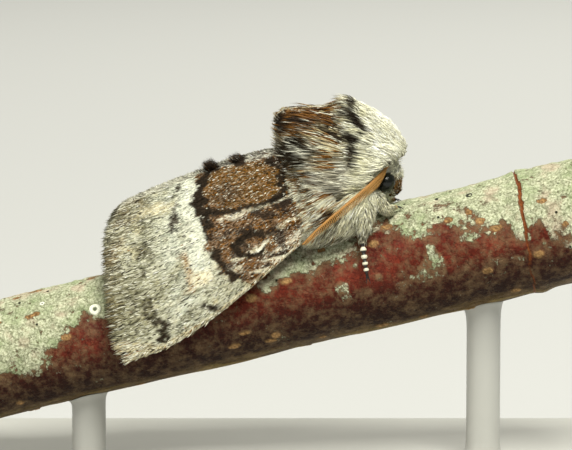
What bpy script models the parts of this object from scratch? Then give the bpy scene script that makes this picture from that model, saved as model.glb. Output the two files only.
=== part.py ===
"""A nut-tree tussock moth at rest on a cut length of twig, life size, on a plain display stand.

The moth and the twig are built in the twig's own frame: x runs along the twig towards the head,
y across it (the moth's right is -y) and z away from the twig's axis. One empty tilts that frame and
holds it over the stand. Sizes are in millimetres and become metres as each mesh is made.
"""

import math
import random

import bmesh
import bpy
import numpy as np
from mathutils import Matrix, Vector

MM = 0.001
GAP = 0.3  # between nodes that meet
CLOSE_GAP = 0.2  # between the smallest nodes, such as an eye and its socket
MEMBRANE = 0.5  # wing thickness
RIGHT, LEFT = -1, 1
SIDE_SHIFT = 0.02  # how far the left side's limbs sit ahead of the right side's

# The stand and the twig
BASE_LENGTH, BASE_WIDTH, BASE_HEIGHT = 37.0, 24.0, 2.5
BASE_BEVEL = 0.4
ROD_RADIUS = 0.9
ROD_PLACES = {"stand_rod_rear": -10.5, "stand_rod_front": 10.5}
TWIG_LENGTH = 34.5
TWIG_RADIUS = 3.1
TWIG_TAPER = 0.10  # how much thicker than the middle the head end is, and thinner the other
TWIG_TILT = math.radians(13.6)
TWIG_AXIS_HEIGHT = 11.5  # over the floor, at the middle of the base
BUD_SCAR = 13.3  # where along the twig the ring scar is

# The right forewing's two long edges, from the root to the outer edge: x, y, z
INNER_EDGE = (
    (3.1, -1.45, 6.35), (2.5, -1.05, 6.9), (1.7, -0.62, 7.2), (0.5, -0.34, 7.3),
    (-1.3, -0.29, 7.3), (-3.2, -0.29, 7.2), (-5.2, -0.29, 7.0), (-7.15, -0.29, 6.65),
)
COSTAL_EDGE = (
    (3.7, -2.8, 3.85), (2.95, -3.05, 3.45), (1.9, -3.35, 2.95), (0.4, -3.7, 2.2),
    (-1.65, -3.95, 1.15), (-3.9, -4.15, 0.1), (-6.4, -4.2, -0.8), (-8.75, -4.2, -1.08),
)
ROOF_ROUNDNESS = 0.78  # 0 is a flat roof side, 1 a quarter of an ellipse
OUTER_EDGE_BULGE = 1.2
VEINS = 8
VEIN_RISE = 0.12
VEIN_HALF_WIDTH = 0.2

# Body sections: x, z of the centre, half width, half height
THORAX = (
    (1.7, 6.2, 0.75, 0.9), (2.05, 6.25, 1.3, 1.75), (2.7, 6.35, 1.75, 2.3), (3.6, 6.4, 2.05, 2.5),
    (4.5, 6.4, 2.15, 2.55), (5.3, 6.4, 2.05, 2.4), (6.0, 6.35, 1.75, 2.05), (6.6, 6.35, 1.3, 1.55),
    (7.1, 6.4, 0.75, 0.85),
)
ABDOMEN = (
    (1.3, 4.75, 0.7, 0.7), (0.9, 4.72, 1.0, 1.05), (-0.1, 4.7, 1.1, 1.15), (-1.1, 4.66, 1.08, 1.14),
    (-2.1, 4.62, 1.03, 1.1), (-3.1, 4.56, 0.95, 1.0), (-4.1, 4.5, 0.82, 0.86), (-5.0, 4.44, 0.64, 0.68),
    (-5.5, 4.4, 0.45, 0.45),
)
SEGMENT_WAIST = 0.06  # how much a joint between two abdomen rings is drawn in
HEAD_CENTRE, HEAD_RADII = (6.35, 0.0, 4.95), (0.95, 1.15, 1.2)
NECK_PLANE_POINT, NECK_PLANE_SLOPE = (5.12, 0.0, 3.8), math.radians(66.0)
EYE_CENTRE, EYE_RADIUS = (6.5, -0.88, 4.55), 0.52
LIE_FOCUS = (6.75, 0.0, 5.1)  # the coat's locks run back and up from here

ANTENNA = (
    (6.85, -0.96, 5.45), (6.5, -1.68, 5.22), (5.9, -2.35, 4.92), (5.2, -2.85, 4.6),
    (4.3, -3.35, 4.2), (3.3, -3.75, 3.75), (2.3, -4.05, 3.25), (1.55, -4.25, 2.8),
)
ANTENNA_RADII = (0.22, 0.22, 0.23, 0.23, 0.22, 0.2, 0.17, 0.12)
ANTENNA_TEETH, ANTENNA_COMB = 17, 0.55
PALP = ((6.62, -0.34, 3.7), (6.88, -0.36, 3.76), (7.15, -0.38, 3.9))
PALP_RADII = (0.25, 0.27, 0.18)

FOOT_BEADS = 5
# Legs: the joints' places and the half thickness there, from the body to the claws
FORE_LEG = (
    ((5.35, -0.8, 4.05), 0.34), ((5.85, -1.4, 3.9), 0.36), ((6.1, -1.85, 3.45), 0.3),
    ((6.4, -1.8, 3.25), 0.25), ((6.7, -1.62, 3.25), 0.24), ((6.95, -1.5, 3.28), 0.2),
)
MID_LEG = (
    ((4.35, -1.2, 4.1), 0.38), ((4.85, -1.8, 4.0), 0.45), ((5.15, -2.35, 3.7), 0.45),
    ((4.95, -2.95, 3.0), 0.38), ((4.65, -3.35, 2.2), 0.27), ((4.52, -3.6, 1.3), 0.25),
    ((4.45, -3.72, 0.4), 0.2),
)
HIND_LEG = (
    ((2.7, -0.7, 4.05), 0.32), ((1.7, -1.1, 3.66), 0.28), ((0.3, -1.42, 3.5), 0.25),
    ((-1.0, -1.45, 3.48), 0.25), ((-2.3, -1.42, 3.45), 0.2),
)


def clear_scene():
    """Removes whatever the file holds."""
    for old in list(bpy.data.objects):
        bpy.data.objects.remove(old, do_unlink=True)


def material(name, colour, roughness):
    """A plain non-metal finish of an sRGB colour."""
    made = bpy.data.materials.new(name)
    made.use_nodes = True
    shader = made.node_tree.nodes["Principled BSDF"]
    linear = [((c + 0.055) / 1.055) ** 2.4 if c > 0.04045 else c / 12.92 for c in colour]
    shader.inputs["Base Color"].default_value = (*linear, 1.0)
    shader.inputs["Roughness"].default_value = roughness
    shader.inputs["Metallic"].default_value = 0.0
    return made


def make_object(name, points, faces, collection):
    """A mesh object from points in millimetres."""
    mesh = bpy.data.meshes.new(name)
    mesh.from_pydata([tuple(MM * float(c) for c in p) for p in points], [], faces)
    mesh.update()
    made = bpy.data.objects.new(name, mesh)
    collection.objects.link(made)
    return made


def edit(obj, change):
    """Runs change(bm) on the object's mesh."""
    bm = bmesh.new()
    bm.from_mesh(obj.data)
    change(bm)
    bm.to_mesh(obj.data)
    bm.free()
    obj.data.update()


def face_outwards(bm):
    bmesh.ops.recalc_face_normals(bm, faces=bm.faces)


def apply_modifiers(obj):
    """Replaces the object's mesh with what its modifiers make of it."""
    bpy.context.view_layer.update()
    graph = bpy.context.evaluated_depsgraph_get()
    mesh = bpy.data.meshes.new_from_object(obj.evaluated_get(graph))
    obj.modifiers.clear()
    obj.data = mesh


def smooth_path(points, where):
    """Points at the fractions in where, on a Catmull-Rom curve through evenly counted points."""
    points = np.asarray(points, float)
    ends = np.vstack([2 * points[0] - points[1], points, 2 * points[-1] - points[-2]])
    at = np.clip(np.asarray(where, float), 0.0, 1.0) * (len(points) - 1)
    k = np.minimum(at.astype(int), len(points) - 2)
    t = (at - k)[..., None]
    a, b, c, d = (ends[k + i] for i in range(4))
    return 0.5 * (
        2 * b + (c - a) * t + (2 * a - 5 * b + 4 * c - d) * t**2 + (3 * b - a - 3 * c + d) * t**3
    )


def loft(name, sections, sides, collection):
    """A closed body through elliptical sections across x, with a point past each end section."""
    turn = np.linspace(0, 2 * math.pi, sides, endpoint=False)
    points = []
    for x, z, half_width, half_height in sections:
        points += [(x, half_width * math.sin(a), z + half_height * math.cos(a)) for a in turn]
    first, last = sections[0], sections[-1]
    direction = 1 if last[0] > first[0] else -1
    points.append((first[0] - 0.35 * direction * first[2], 0, first[1]))
    points.append((last[0] + 0.35 * direction * last[2], 0, last[1]))
    faces = []
    for ring in range(len(sections) - 1):
        for side in range(sides):
            a, b = ring * sides + side, ring * sides + (side + 1) % sides
            faces.append((a, b, b + sides, a + sides))
    top = (len(sections) - 1) * sides
    for side in range(sides):
        after = (side + 1) % sides
        faces.append((after, side, len(points) - 2))
        faces.append((top + side, top + after, len(points) - 1))
    made = make_object(name, points, faces, collection)
    edit(made, face_outwards)
    return made


def tube(name, points, radii, collection, resolution=2):
    """A round tube along a smooth path, as a curve object made a mesh, with its caps welded."""
    curve = bpy.data.curves.new(name, "CURVE")
    curve.dimensions = "3D"
    curve.bevel_depth = MM
    curve.bevel_resolution = resolution
    curve.use_fill_caps = True
    spline = curve.splines.new("POLY")
    spline.points.add(len(points) - 1)
    for knot, point, radius in zip(spline.points, points, radii):
        knot.co = (*(MM * float(c) for c in point), 1.0)
        knot.radius = float(radius)
    drawn = bpy.data.objects.new(name, curve)
    collection.objects.link(drawn)
    bpy.context.view_layer.update()
    graph = bpy.context.evaluated_depsgraph_get()
    mesh = bpy.data.meshes.new_from_object(drawn.evaluated_get(graph))
    bpy.data.objects.remove(drawn)
    made = bpy.data.objects.new(name, mesh)
    collection.objects.link(made)
    edit(made, lambda bm: bmesh.ops.remove_doubles(bm, verts=bm.verts, dist=1e-7))
    edit(made, face_outwards)
    return made


def ball(name, centre, radii, collection, segments=20, rings=14):
    bm = bmesh.new()
    bmesh.ops.create_uvsphere(bm, u_segments=segments, v_segments=rings, radius=1.0)
    bmesh.ops.scale(bm, vec=Vector(radii) * MM, verts=bm.verts)
    bmesh.ops.translate(bm, vec=Vector(centre) * MM, verts=bm.verts)
    mesh = bpy.data.meshes.new(name)
    bm.to_mesh(mesh)
    bm.free()
    made = bpy.data.objects.new(name, mesh)
    collection.objects.link(made)
    return made


def lock_points(root, direction, outward, length, width, thick=0.45, droop=0.5, rings=3):
    """The corners of a flat, tapered lock: rings of four that narrow and bend down, then its tip."""
    direction, outward = Vector(direction).normalized(), Vector(outward).normalized()
    spot, points = Vector(root), []
    for ring in range(rings):
        along = ring / rings
        heading = (direction - outward * droop * along).normalized()
        across = heading.cross(outward).normalized()
        lift = across.cross(heading).normalized()
        half_width = 0.5 * width * (1 - 0.55 * along**1.5)
        half_thick = 0.5 * thick * (1 - 0.6 * along)
        points += [
            spot + across * half_width, spot + lift * half_thick,
            spot - across * half_width, spot - lift * half_thick,
        ]
        spot = spot + heading * (length / rings)
    return points + [spot]


def lock(points, collection):
    """The closed solid of a lock's corners."""
    faces, last = [(3, 2, 1, 0)], len(points) - 5
    for ring in range(0, last, 4):
        for side in range(4):
            a, b = ring + side, ring + (side + 1) % 4
            faces.append((a, b, b + 4, a + 4))
    faces += [(last + side, last + (side + 1) % 4, len(points) - 1) for side in range(4)]
    made = make_object("lock", points, faces, collection)
    edit(made, face_outwards)
    return made


def crowd(obj, distance):
    """The corners and face centres of a node, in millimetres, with how far a lock stays from them."""
    places = [v.co for v in obj.data.vertices] + [f.center for f in obj.data.polygons]
    return np.array(places) / MM, distance


def is_free(points, crowds):
    """Whether no corner or edge middle of a lock comes too near to any neighbour."""
    corners = np.array(points)
    middles = 0.5 * (corners[:-4] + corners[4:])
    tested = np.vstack([corners, middles])
    for places, distance in crowds:
        apart = np.linalg.norm(tested[:, None] - places[None], axis=-1)
        if apart.min() < distance:
            return False
    return True


def place_lock(root, flow, normal, tilt, length, width, crowds, collection, lift=45, **shape):
    """A lock that leaves the skin along flow, at the least tilt from which it clears its neighbours.

    It is shortened before it is left out.
    """
    for shrink in (1.0, 0.75, 0.55):
        for extra in (0, -9, *range(9, lift + 1, 9)):
            angle = tilt + math.radians(extra)
            direction = flow * math.cos(angle) + normal * math.sin(angle)
            points = lock_points(root, direction, normal, shrink * length, width, **shape)
            if is_free(points, crowds):
                return lock(points, collection)
    return None


def keep_largest(obj):
    """Drops every closed surface but the largest, so that the node is one body."""
    def drop(bm):
        bmesh.ops.triangulate(bm, faces=bm.faces)
        left, parts = set(bm.faces), []
        while left:
            queue, part = [left.pop()], []
            while queue:
                face = queue.pop()
                part.append(face)
                for edge in face.edges:
                    for other in edge.link_faces:
                        if other in left:
                            left.remove(other)
                            queue.append(other)
            parts.append(part)
        parts.sort(key=lambda part: sum(f.calc_area() for f in part))
        spare = [face for part in parts[:-1] for face in part]
        if spare:
            bmesh.ops.delete(bm, geom=spare, context="FACES")
    edit(obj, drop)


def boolean(obj, collection, operation):
    """Joins a collection's closed meshes to the object, or cuts them from it, and removes them."""
    modifier = obj.modifiers.new(operation.lower(), "BOOLEAN")
    modifier.operation = operation
    modifier.operand_type = "COLLECTION"
    modifier.collection = collection
    modifier.solver = "MANIFOLD"
    apply_modifiers(obj)
    for piece in list(collection.objects):
        bpy.data.objects.remove(piece)
    keep_largest(obj)


def clearance(obj, gap, collection):
    """A copy of a closed mesh, grown by gap all round, to cut its neighbours clear of it."""
    grown = bpy.data.objects.new(obj.name + "_clearance", obj.data.copy())
    collection.objects.link(grown)

    def grow(bm):
        bm.normal_update()
        steps = [v.normal * (MM * gap * min(v.calc_shell_factor(), 1.6)) for v in bm.verts]
        for vert, step in zip(bm.verts, steps):
            vert.co += step
    edit(grown, grow)
    return grown


def hull_clearance(obj, gap, collection):
    """As clearance, but round the convex hull of a node whose locks would fold if they grew."""
    bm = bmesh.new()
    for vert in obj.data.vertices:
        bm.verts.new(vert.co)
    bmesh.ops.convex_hull(bm, input=bm.verts)
    bmesh.ops.delete(bm, geom=[v for v in bm.verts if not v.link_faces], context="VERTS")
    face_outwards(bm)
    mesh = bpy.data.meshes.new(obj.name)
    bm.to_mesh(mesh)
    bm.free()
    wrapped = bpy.data.objects.new(obj.name, mesh)
    swelled = clearance(wrapped, gap, collection)
    bpy.data.objects.remove(wrapped)
    return swelled


def left_copy(obj, name, collection):
    """The same node on the moth's left side."""
    made = bpy.data.objects.new(name, obj.data.copy())
    collection.objects.link(made)

    def flip(bm):
        bmesh.ops.transform(bm, matrix=Matrix.Diagonal((1, -1, 1, 1)), verts=bm.verts)
        bmesh.ops.translate(bm, vec=(MM * SIDE_SHIFT, 0, 0), verts=bm.verts)
        bmesh.ops.reverse_faces(bm, faces=bm.faces)
    edit(made, flip)
    return made


def twig_radius(x, turn):
    """The bark's distance from the axis: a slow taper, a ring scar and shallow lengthwise swells."""
    along = x / (0.5 * TWIG_LENGTH)
    scar = 0.12 * math.exp(-(((x - BUD_SCAR) / 0.45) ** 2))
    swell = 0.04 * math.sin(3 * turn + 0.5 * x) + 0.03 * math.sin(5 * turn - 0.9 * x + 1.0)
    return TWIG_RADIUS + TWIG_TAPER * along + scar + swell


def build_perch(nodes):
    """The cut twig, round with slight swells, its ends sawn square."""
    sides = 24
    stations = np.sort(np.append(np.linspace(-0.5, 0.5, 13) * TWIG_LENGTH, BUD_SCAR + np.array([-0.5, 0, 0.5])))
    points = []
    for x in stations:
        for side in range(sides):
            turn = 2 * math.pi * side / sides
            radius = twig_radius(x, turn)
            points.append((x, radius * math.sin(turn), radius * math.cos(turn)))
    faces = [
        (
            ring * sides + side,
            ring * sides + (side + 1) % sides,
            (ring + 1) * sides + (side + 1) % sides,
            (ring + 1) * sides + side,
        )
        for ring in range(len(stations) - 1)
        for side in range(sides)
    ]
    faces.append(tuple(range(sides)))
    faces.append(tuple(range((len(stations) - 1) * sides, len(stations) * sides)))
    made = make_object("perch", points, faces, nodes)
    edit(made, face_outwards)
    edit(made, lambda bm: bmesh.ops.triangulate(bm, faces=bm.faces))
    return made


def forewing_surface(p, q):
    """Outer face of the right forewing. p runs from root to outer edge, q from inner edge to costa.

    Across the wing, a straight line and a quarter of an ellipse between the two edges are mixed,
    which gives the rounded roof. Near the outer edge the wing bulges past the line of its corners.
    """
    inner, costa = smooth_path(INNER_EDGE, p), smooth_path(COSTAL_EDGE, p)
    flat = 1 - ROOF_ROUNDNESS
    out = flat * q + ROOF_ROUNDNESS * np.sin(0.5 * math.pi * q)
    down = flat * q + ROOF_ROUNDNESS * (1 - np.cos(0.5 * math.pi * q))
    reach = 1 - np.abs(2 * q - 1) ** np.where(q < 0.5, 3, 6)
    bulge = OUTER_EDGE_BULGE * (1 - 0.3 * q) * reach * p**5
    x = inner[..., 0] + (costa - inner)[..., 0] * down - bulge
    y = inner[..., 1] + (costa - inner)[..., 1] * out
    z = inner[..., 2] + (costa - inner)[..., 2] * down
    return np.stack([x, y, z], axis=-1)


def twig_crowd():
    """Points all over the bark's upper half, with how far a lock stays from them."""
    places = []
    for x in np.arange(0, 9, 0.3):
        for turn in np.arange(-2, 2.01, 0.1):
            radius = twig_radius(x, turn)
            places.append((x, radius * math.sin(turn), radius * math.cos(turn)))
    return np.array(places), GAP + 0.05


def normals(surface, p, q):
    """The unit normal of surface(p, q), on the side that faces up."""
    step = 1e-3
    along = surface(np.clip(p + step, 0, 1), q) - surface(np.clip(p - step, 0, 1), q)
    across = surface(p, np.clip(q + step, 0, 1)) - surface(p, np.clip(q - step, 0, 1))
    normal = np.cross(across, along)
    normal /= np.linalg.norm(normal, axis=-1, keepdims=True)
    return normal if normal[..., 2].mean() > 0 else -normal


def sheet(name, surface, ps, qs, raised, collection, thickness, margin=0.0):
    """A grid over surface(p, q) made a plate, with raised(p, q) pushed out of its outer face.

    Both faces take the same triangles, because the grid is split before it gets its thickness.
    A margin moves the plate's rim outwards, and each face away from the surface, by that much.
    """
    p, q = np.meshgrid(ps, qs, indexing="ij")
    normal = normals(surface, p, q)
    points = surface(p, q) + normal * margin
    if margin:
        for rim in (points, points[::-1], points.swapaxes(0, 1), points.swapaxes(0, 1)[::-1]):
            step = rim[0] - rim[1]
            rim[0] += margin * step / np.linalg.norm(step, axis=-1, keepdims=True)
    columns = len(qs)
    faces = [
        (i * columns + j, (i + 1) * columns + j, (i + 1) * columns + j + 1, i * columns + j + 1)
        for i in range(len(ps) - 1)
        for j in range(columns - 1)
    ]
    made = make_object(name, points.reshape(-1, 3), faces, collection)
    edit(made, lambda bm: bmesh.ops.triangulate(bm, faces=bm.faces))
    first = made.data.polygons[len(made.data.polygons) // 2]
    towards = normal.reshape(-1, 3)[first.vertices[0]]
    if Vector(towards).dot(first.normal) < 0:
        edit(made, lambda bm: bmesh.ops.reverse_faces(bm, faces=bm.faces))
    plate = made.modifiers.new("thickness", "SOLIDIFY")
    plate.thickness = MM * (thickness + 2 * margin)
    plate.offset = -1.0
    plate.use_even_offset = True
    apply_modifiers(made)
    rise = (normal * raised(p, q)[..., None]).reshape(-1, 3)
    for vertex, step in zip(made.data.vertices, rise):  # the outer face keeps the grid's order
        vertex.co += Vector(step) * MM
    edit(made, lambda bm: bmesh.ops.triangulate(bm, faces=bm.faces))
    return made


def vein_lines(count, first, last):
    """Places across a wing of each vein's crest and its two feet, and of the wing's edges."""
    crests = np.linspace(first, last, count)
    foot = VEIN_HALF_WIDTH / 9.0
    lines = np.concatenate([crests, crests - foot, crests + foot, [0.0, 1.0]])
    return crests, np.unique(np.round(np.clip(lines, 0, 1), 5))


def wing_tuft(x_place, side_lean, collection):
    """A small upright tuft of scales on the inner margin of the right forewing."""
    for k in range(3):
        root = (x_place - 0.22 * k + 0.2, -0.62 - 0.08 * k, 6.95)
        direction = (-0.35 - 0.15 * k, side_lean, 1.0)
        outward = (-0.2, -0.2, 0.4)
        lock(lock_points(root, direction, outward, 1.0 - 0.08 * k, 0.55, 0.42, 0.1), collection)


def build_forewing(nodes, scraps):
    """The right forewing, with its veins as ridges and two dark tufts on its inner margin."""
    crests, qs = vein_lines(VEINS, 0.07, 0.95)
    ps = np.concatenate([np.linspace(0, 0.8, 9)[:-1], np.linspace(0.8, 1, 5)])

    def raised(p, q):
        nearest = np.abs(q[..., None] - crests).min(-1)
        return VEIN_RISE * (nearest < 1e-4) * np.clip(p * 5, 0, 1) * np.clip((1.02 - p) * 12, 0, 1)
    made = sheet("forewing_right", forewing_surface, ps, qs, raised, nodes, MEMBRANE)
    wing_tuft(-0.75, 0.12, scraps)
    wing_tuft(-2.2, 0.12, scraps)
    boolean(made, scraps, "UNION")
    return made


def wing_room(collection):
    """The space the right forewing's root needs, to cut the thorax clear of it."""
    return sheet(
        "wing_room", forewing_surface, np.linspace(0, 0.6, 11), np.linspace(0, 1, 17),
        lambda p, q: 0 * p, collection, MEMBRANE, GAP + VEIN_RISE + 0.08,
    )


def wing_crowds():
    """Points on both faces of the forewings' front halves, with how far a lock stays from them."""
    p, q = np.meshgrid(np.linspace(0, 0.6, 31), np.linspace(0, 1, 31), indexing="ij")
    outer = forewing_surface(p, q)
    inner = (outer - MEMBRANE * normals(forewing_surface, p, q)).reshape(-1, 3)
    outer, flip = outer.reshape(-1, 3), (1, -1, 1)
    far, near = GAP + VEIN_RISE, GAP + 0.03
    return [(outer, far), (outer * flip, far), (inner, near), (inner * flip, near)]


def hindwing_surface(p, q):
    """Outer face of the right hindwing: it follows the forewing's inside at a small distance."""
    over_p, over_q = 0.36 + 0.55 * p - 0.06 * (2 * q - 1) ** 2 * p, 0.41 + 0.2 * q
    offset = MEMBRANE + GAP + 0.08
    return forewing_surface(over_p, over_q) - offset * normals(forewing_surface, over_p, over_q)


def build_hindwing(nodes):
    crests, qs = vein_lines(3, 0.25, 0.75)
    foot = 0.12
    qs = np.unique(np.concatenate([[0, 1], crests, crests - foot, crests + foot]))

    def raised(p, q):
        return 0.5 * VEIN_RISE * (np.abs(q[..., None] - crests).min(-1) < 1e-4) * np.clip((1.02 - p) * 10, 0, 1)
    return sheet("hindwing_right", hindwing_surface, np.linspace(0, 1, 9), qs, raised, nodes, MEMBRANE)


def antenna_blade(collection):
    """The comb's branches as one thin blade under the shaft, its lower edge cut into close teeth."""
    where = np.linspace(0.13, 0.97, 2 * ANTENNA_TEETH + 1)
    path = smooth_path(ANTENNA, where)
    run = np.gradient(path, axis=0)
    run /= np.linalg.norm(run, axis=1, keepdims=True)
    outward = np.cross(run, (0.0, 0.0, 1.0))
    outward /= np.linalg.norm(outward, axis=1, keepdims=True)
    hang = np.cross(run, outward)
    hang *= -np.sign(hang[:, 2:3])
    drop = ANTENNA_COMB * np.sin(math.pi * np.clip(1.08 - where, 0, 0.5)) ** 0.7
    drop = drop * np.where(np.arange(len(where)) % 2, 1.0, 0.72)
    points = []
    for k in range(len(where)):
        tip = path[k] + hang[k] * drop[k] + run[k] * 0.12 * (k % 2)
        points += [path[k] + outward[k] * 0.2, path[k] - outward[k] * 0.2, tip]
    faces = [(0, 1, 2), tuple(len(points) - i for i in (1, 2, 3))]
    for k in range(0, len(points) - 3, 3):
        for side in range(3):
            a, b = k + side, k + (side + 1) % 3
            faces += [(a, b, b + 3), (a, b + 3, a + 3)]
    made = make_object("blade", points, faces, collection)
    edit(made, face_outwards)
    return made


def build_antenna(nodes, scraps):
    """A feeler: a shaft with its close comb of side branches below it."""
    where = np.linspace(0, 1, 15)
    radii = np.interp(where, np.linspace(0, 1, len(ANTENNA_RADII)), ANTENNA_RADII)
    made = tube("antenna_right", smooth_path(ANTENNA, where), radii, nodes)
    antenna_blade(scraps)
    boolean(made, scraps, "UNION")
    return made


def build_palp(nodes, scraps):
    """A short feeler under the face, its scales in a blunt brush."""
    path = smooth_path(PALP, np.linspace(0, 1, 6))
    made = tube("palp_right", path, np.interp(np.linspace(0, 1, 6), (0, 0.5, 1), PALP_RADII), nodes)
    for k, lean in enumerate((-0.5, 0.0, 0.5)):
        direction = (1.0, 0.25 * lean, -0.15 + 0.4 * lean)
        lock(lock_points(path[2 + k % 2], direction, (0, lean, -1), 0.42, 0.36, 0.3, 0.0), scraps)
    boolean(made, scraps, "UNION")
    return made


def build_leg(name, joints, beads_from, coat, crowds, nodes, scraps):
    """A leg whose foot, past beads_from, is beaded, with the locks of wool that coat lists.

    Each entry of coat is a place along the leg, the way the lock runs, its outer side, its length
    and its width.
    """
    points, radii = [place for place, _ in joints], [radius for _, radius in joints]
    fine = np.linspace(beads_from, 1, 2 * FOOT_BEADS + 1)
    where = np.concatenate([np.linspace(0, beads_from, 9)[:-1], fine])
    sizes = np.interp(where, np.linspace(0, 1, len(radii)), radii)
    sizes[8:] *= np.where(np.arange(len(fine)) % 2, 1.12, 0.82)
    made = tube(name, smooth_path(points, where), sizes, nodes)
    for at, flow, outward, length, width in coat:
        root, flow, outward = smooth_path(points, [at])[0], Vector(flow), Vector(outward).normalized()
        flow = (flow - outward * flow.dot(outward)).normalized()
        place_lock(root, flow, outward, math.radians(4), length, width, crowds, scraps, droop=0.12)
    if coat:
        boolean(made, scraps, "UNION")
    return made


def leg_coats(draw):
    """The wool of the right foreleg and of the right middle leg, which hangs back under the wing."""
    mid = []
    for row, (first, last, count, length) in enumerate(((0.1, 0.4, 6, 3.3), (0.24, 0.52, 5, 2.7), (0.4, 0.62, 4, 1.7))):
        for k in range(count):
            at = first + (last - first) * k / (count - 1)
            flow = (-1.0, -0.12 + draw.uniform(-0.08, 0.08), -0.36 - 0.3 * row + draw.uniform(-0.1, 0.1))
            outward = (0.1, -1.0, 0.35 - 0.35 * (k % 2))
            mid.append((at, flow, outward, length * draw.uniform(0.85, 1.08), 0.95))
    fore = [
        (0.2 + 0.1 * k, (0.1 - 0.3 * (k % 2), -0.5, -0.8), (0.3, -1, 0), 0.62, 0.5)
        for k in range(4)
    ]
    return fore, mid


def build_abdomen(nodes, scraps):
    """The slim abdomen, drawn in between its rings, with a brush of scales at its end."""
    sections = []
    for k, (x, z, width, height) in enumerate(ABDOMEN):
        sections.append((x, z, width, height))
        if 0 < k < len(ABDOMEN) - 1:
            after = ABDOMEN[k + 1]
            middle = [0.5 * (a + b) for a, b in zip(ABDOMEN[k], after)]
            sections.append((middle[0], middle[1], middle[2] - SEGMENT_WAIST, middle[3] - SEGMENT_WAIST))
    made = loft("abdomen", sections, 16, nodes)
    last = ABDOMEN[-1]
    for k in range(8):
        turn = 2 * math.pi * k / 8
        outward = (0.0, math.sin(turn), math.cos(turn))
        root = (last[0] + 0.35, 0.22 * outward[1], last[1] + 0.22 * outward[2])
        direction = (-1.0, 0.2 * outward[1], 0.15 * outward[2])
        lock(lock_points(root, direction, outward, 1.25, 0.42, 0.36, 0.1), scraps)
    boolean(made, scraps, "UNION")
    return made


def neck_block(front, gap, collection):
    """A block that fills the space in front of the neck plane, or behind it, and gap past it."""
    size = 12.0
    along = Vector((math.cos(NECK_PLANE_SLOPE), 0, math.sin(NECK_PLANE_SLOPE)))
    normal = Vector((along.z, 0, -along.x)) * (1 if front else -1)
    centre = Vector(NECK_PLANE_POINT) + along * 2.0 + normal * (0.5 * size - gap)
    bm = bmesh.new()
    bmesh.ops.create_cube(bm, size=size * MM)
    bmesh.ops.rotate(bm, matrix=Matrix.Rotation(-NECK_PLANE_SLOPE, 3, "Y"), verts=bm.verts)
    bmesh.ops.translate(bm, vec=centre * MM, verts=bm.verts)
    mesh = bpy.data.meshes.new("neck_block")
    bm.to_mesh(mesh)
    bm.free()
    made = bpy.data.objects.new("neck_block", mesh)
    collection.objects.link(made)
    return made


def neck_crowd():
    """Points on the neck plane, with how far the head's locks stay from them."""
    along = Vector((math.cos(NECK_PLANE_SLOPE), 0, math.sin(NECK_PLANE_SLOPE)))
    start = Vector(NECK_PLANE_POINT)
    places = [start + along * (0.2 * i) + Vector((0, 0.2 * j, 0)) for i in range(15) for j in range(-9, 10)]
    return np.array(places), 0.5 * GAP


def build_head(nodes, scraps, neighbours):
    """The head, cut clear of what it carries, with the pale tuft that fans up and forward from it."""
    made = ball("head", HEAD_CENTRE, HEAD_RADII, nodes, 18, 10)
    for other, gap in neighbours:
        hull_clearance(other, gap, scraps)
    neck_block(False, 0.5 * GAP, scraps)
    boolean(made, scraps, "DIFFERENCE")
    crowds = [crowd(other, gap + 0.02) for other, gap in neighbours] + [neck_crowd()]
    draw = random.Random(3)
    for rise, count, length in ((12, 3, 0.8), (25, 4, 1.05), (38, 4, 1.35), (50, 5, 1.65), (61, 5, 1.95), (70, 5, 2.2)):
        for k in range(count):
            fan = (k + 0.5 + draw.uniform(-0.2, 0.2)) / count * 2 - 1
            up = math.radians(rise)
            outward = Vector((math.cos(up), 0.25 * fan, math.sin(up))).normalized()
            root = Vector(HEAD_CENTRE) + Vector([0.7 * r * o for r, o in zip(HEAD_RADII, outward)])
            direction = Vector((math.cos(up) + 0.25, 0.45 * fan, math.sin(up) + 0.05)).normalized()
            points = lock_points(root, direction, outward, length + 0.35, 0.7, droop=0.1)
            if is_free(points, crowds):
                lock(points, scraps)
    along = Vector((math.cos(NECK_PLANE_SLOPE), 0, math.sin(NECK_PLANE_SLOPE)))
    ahead = Vector((along.z, 0, -along.x))
    for k in range(5):  # the rearmost row, which stands close in front of the collar
        fan = (k - 2) / 2
        root = Vector(NECK_PLANE_POINT) + along * 1.75 + ahead * 0.42 + Vector((0, 0.55 * fan, 0))
        direction = along + Vector((0, 0.42 * fan, 0))
        points = lock_points(root, direction, ahead, 2.75 - 0.35 * abs(fan), 0.85, droop=0.0)
        if is_free(points, crowds):
            lock(points, scraps)
    boolean(made, scraps, "UNION")
    return made


def thorax_surface(x, turn):
    """A point of the thorax's core and its outward normal, turn being measured from the top."""
    sections = np.asarray(THORAX)
    step = 0.05

    def at(where):
        return np.array([np.interp(where, sections[:, 0], sections[:, k]) for k in (1, 2, 3)])
    z, width, height = at(x)
    point = Vector((x, width * math.sin(turn), z + height * math.cos(turn)))
    ahead, behind = at(x + step), at(x - step)
    slope_w, slope_h = (ahead - behind)[1:] / (2 * step)
    normal = Vector((
        -(slope_w * abs(math.sin(turn)) + slope_h * abs(math.cos(turn))),
        math.sin(turn) / max(width, 0.1) * height,
        math.cos(turn),
    ))
    return point, normal.normalized()


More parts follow.
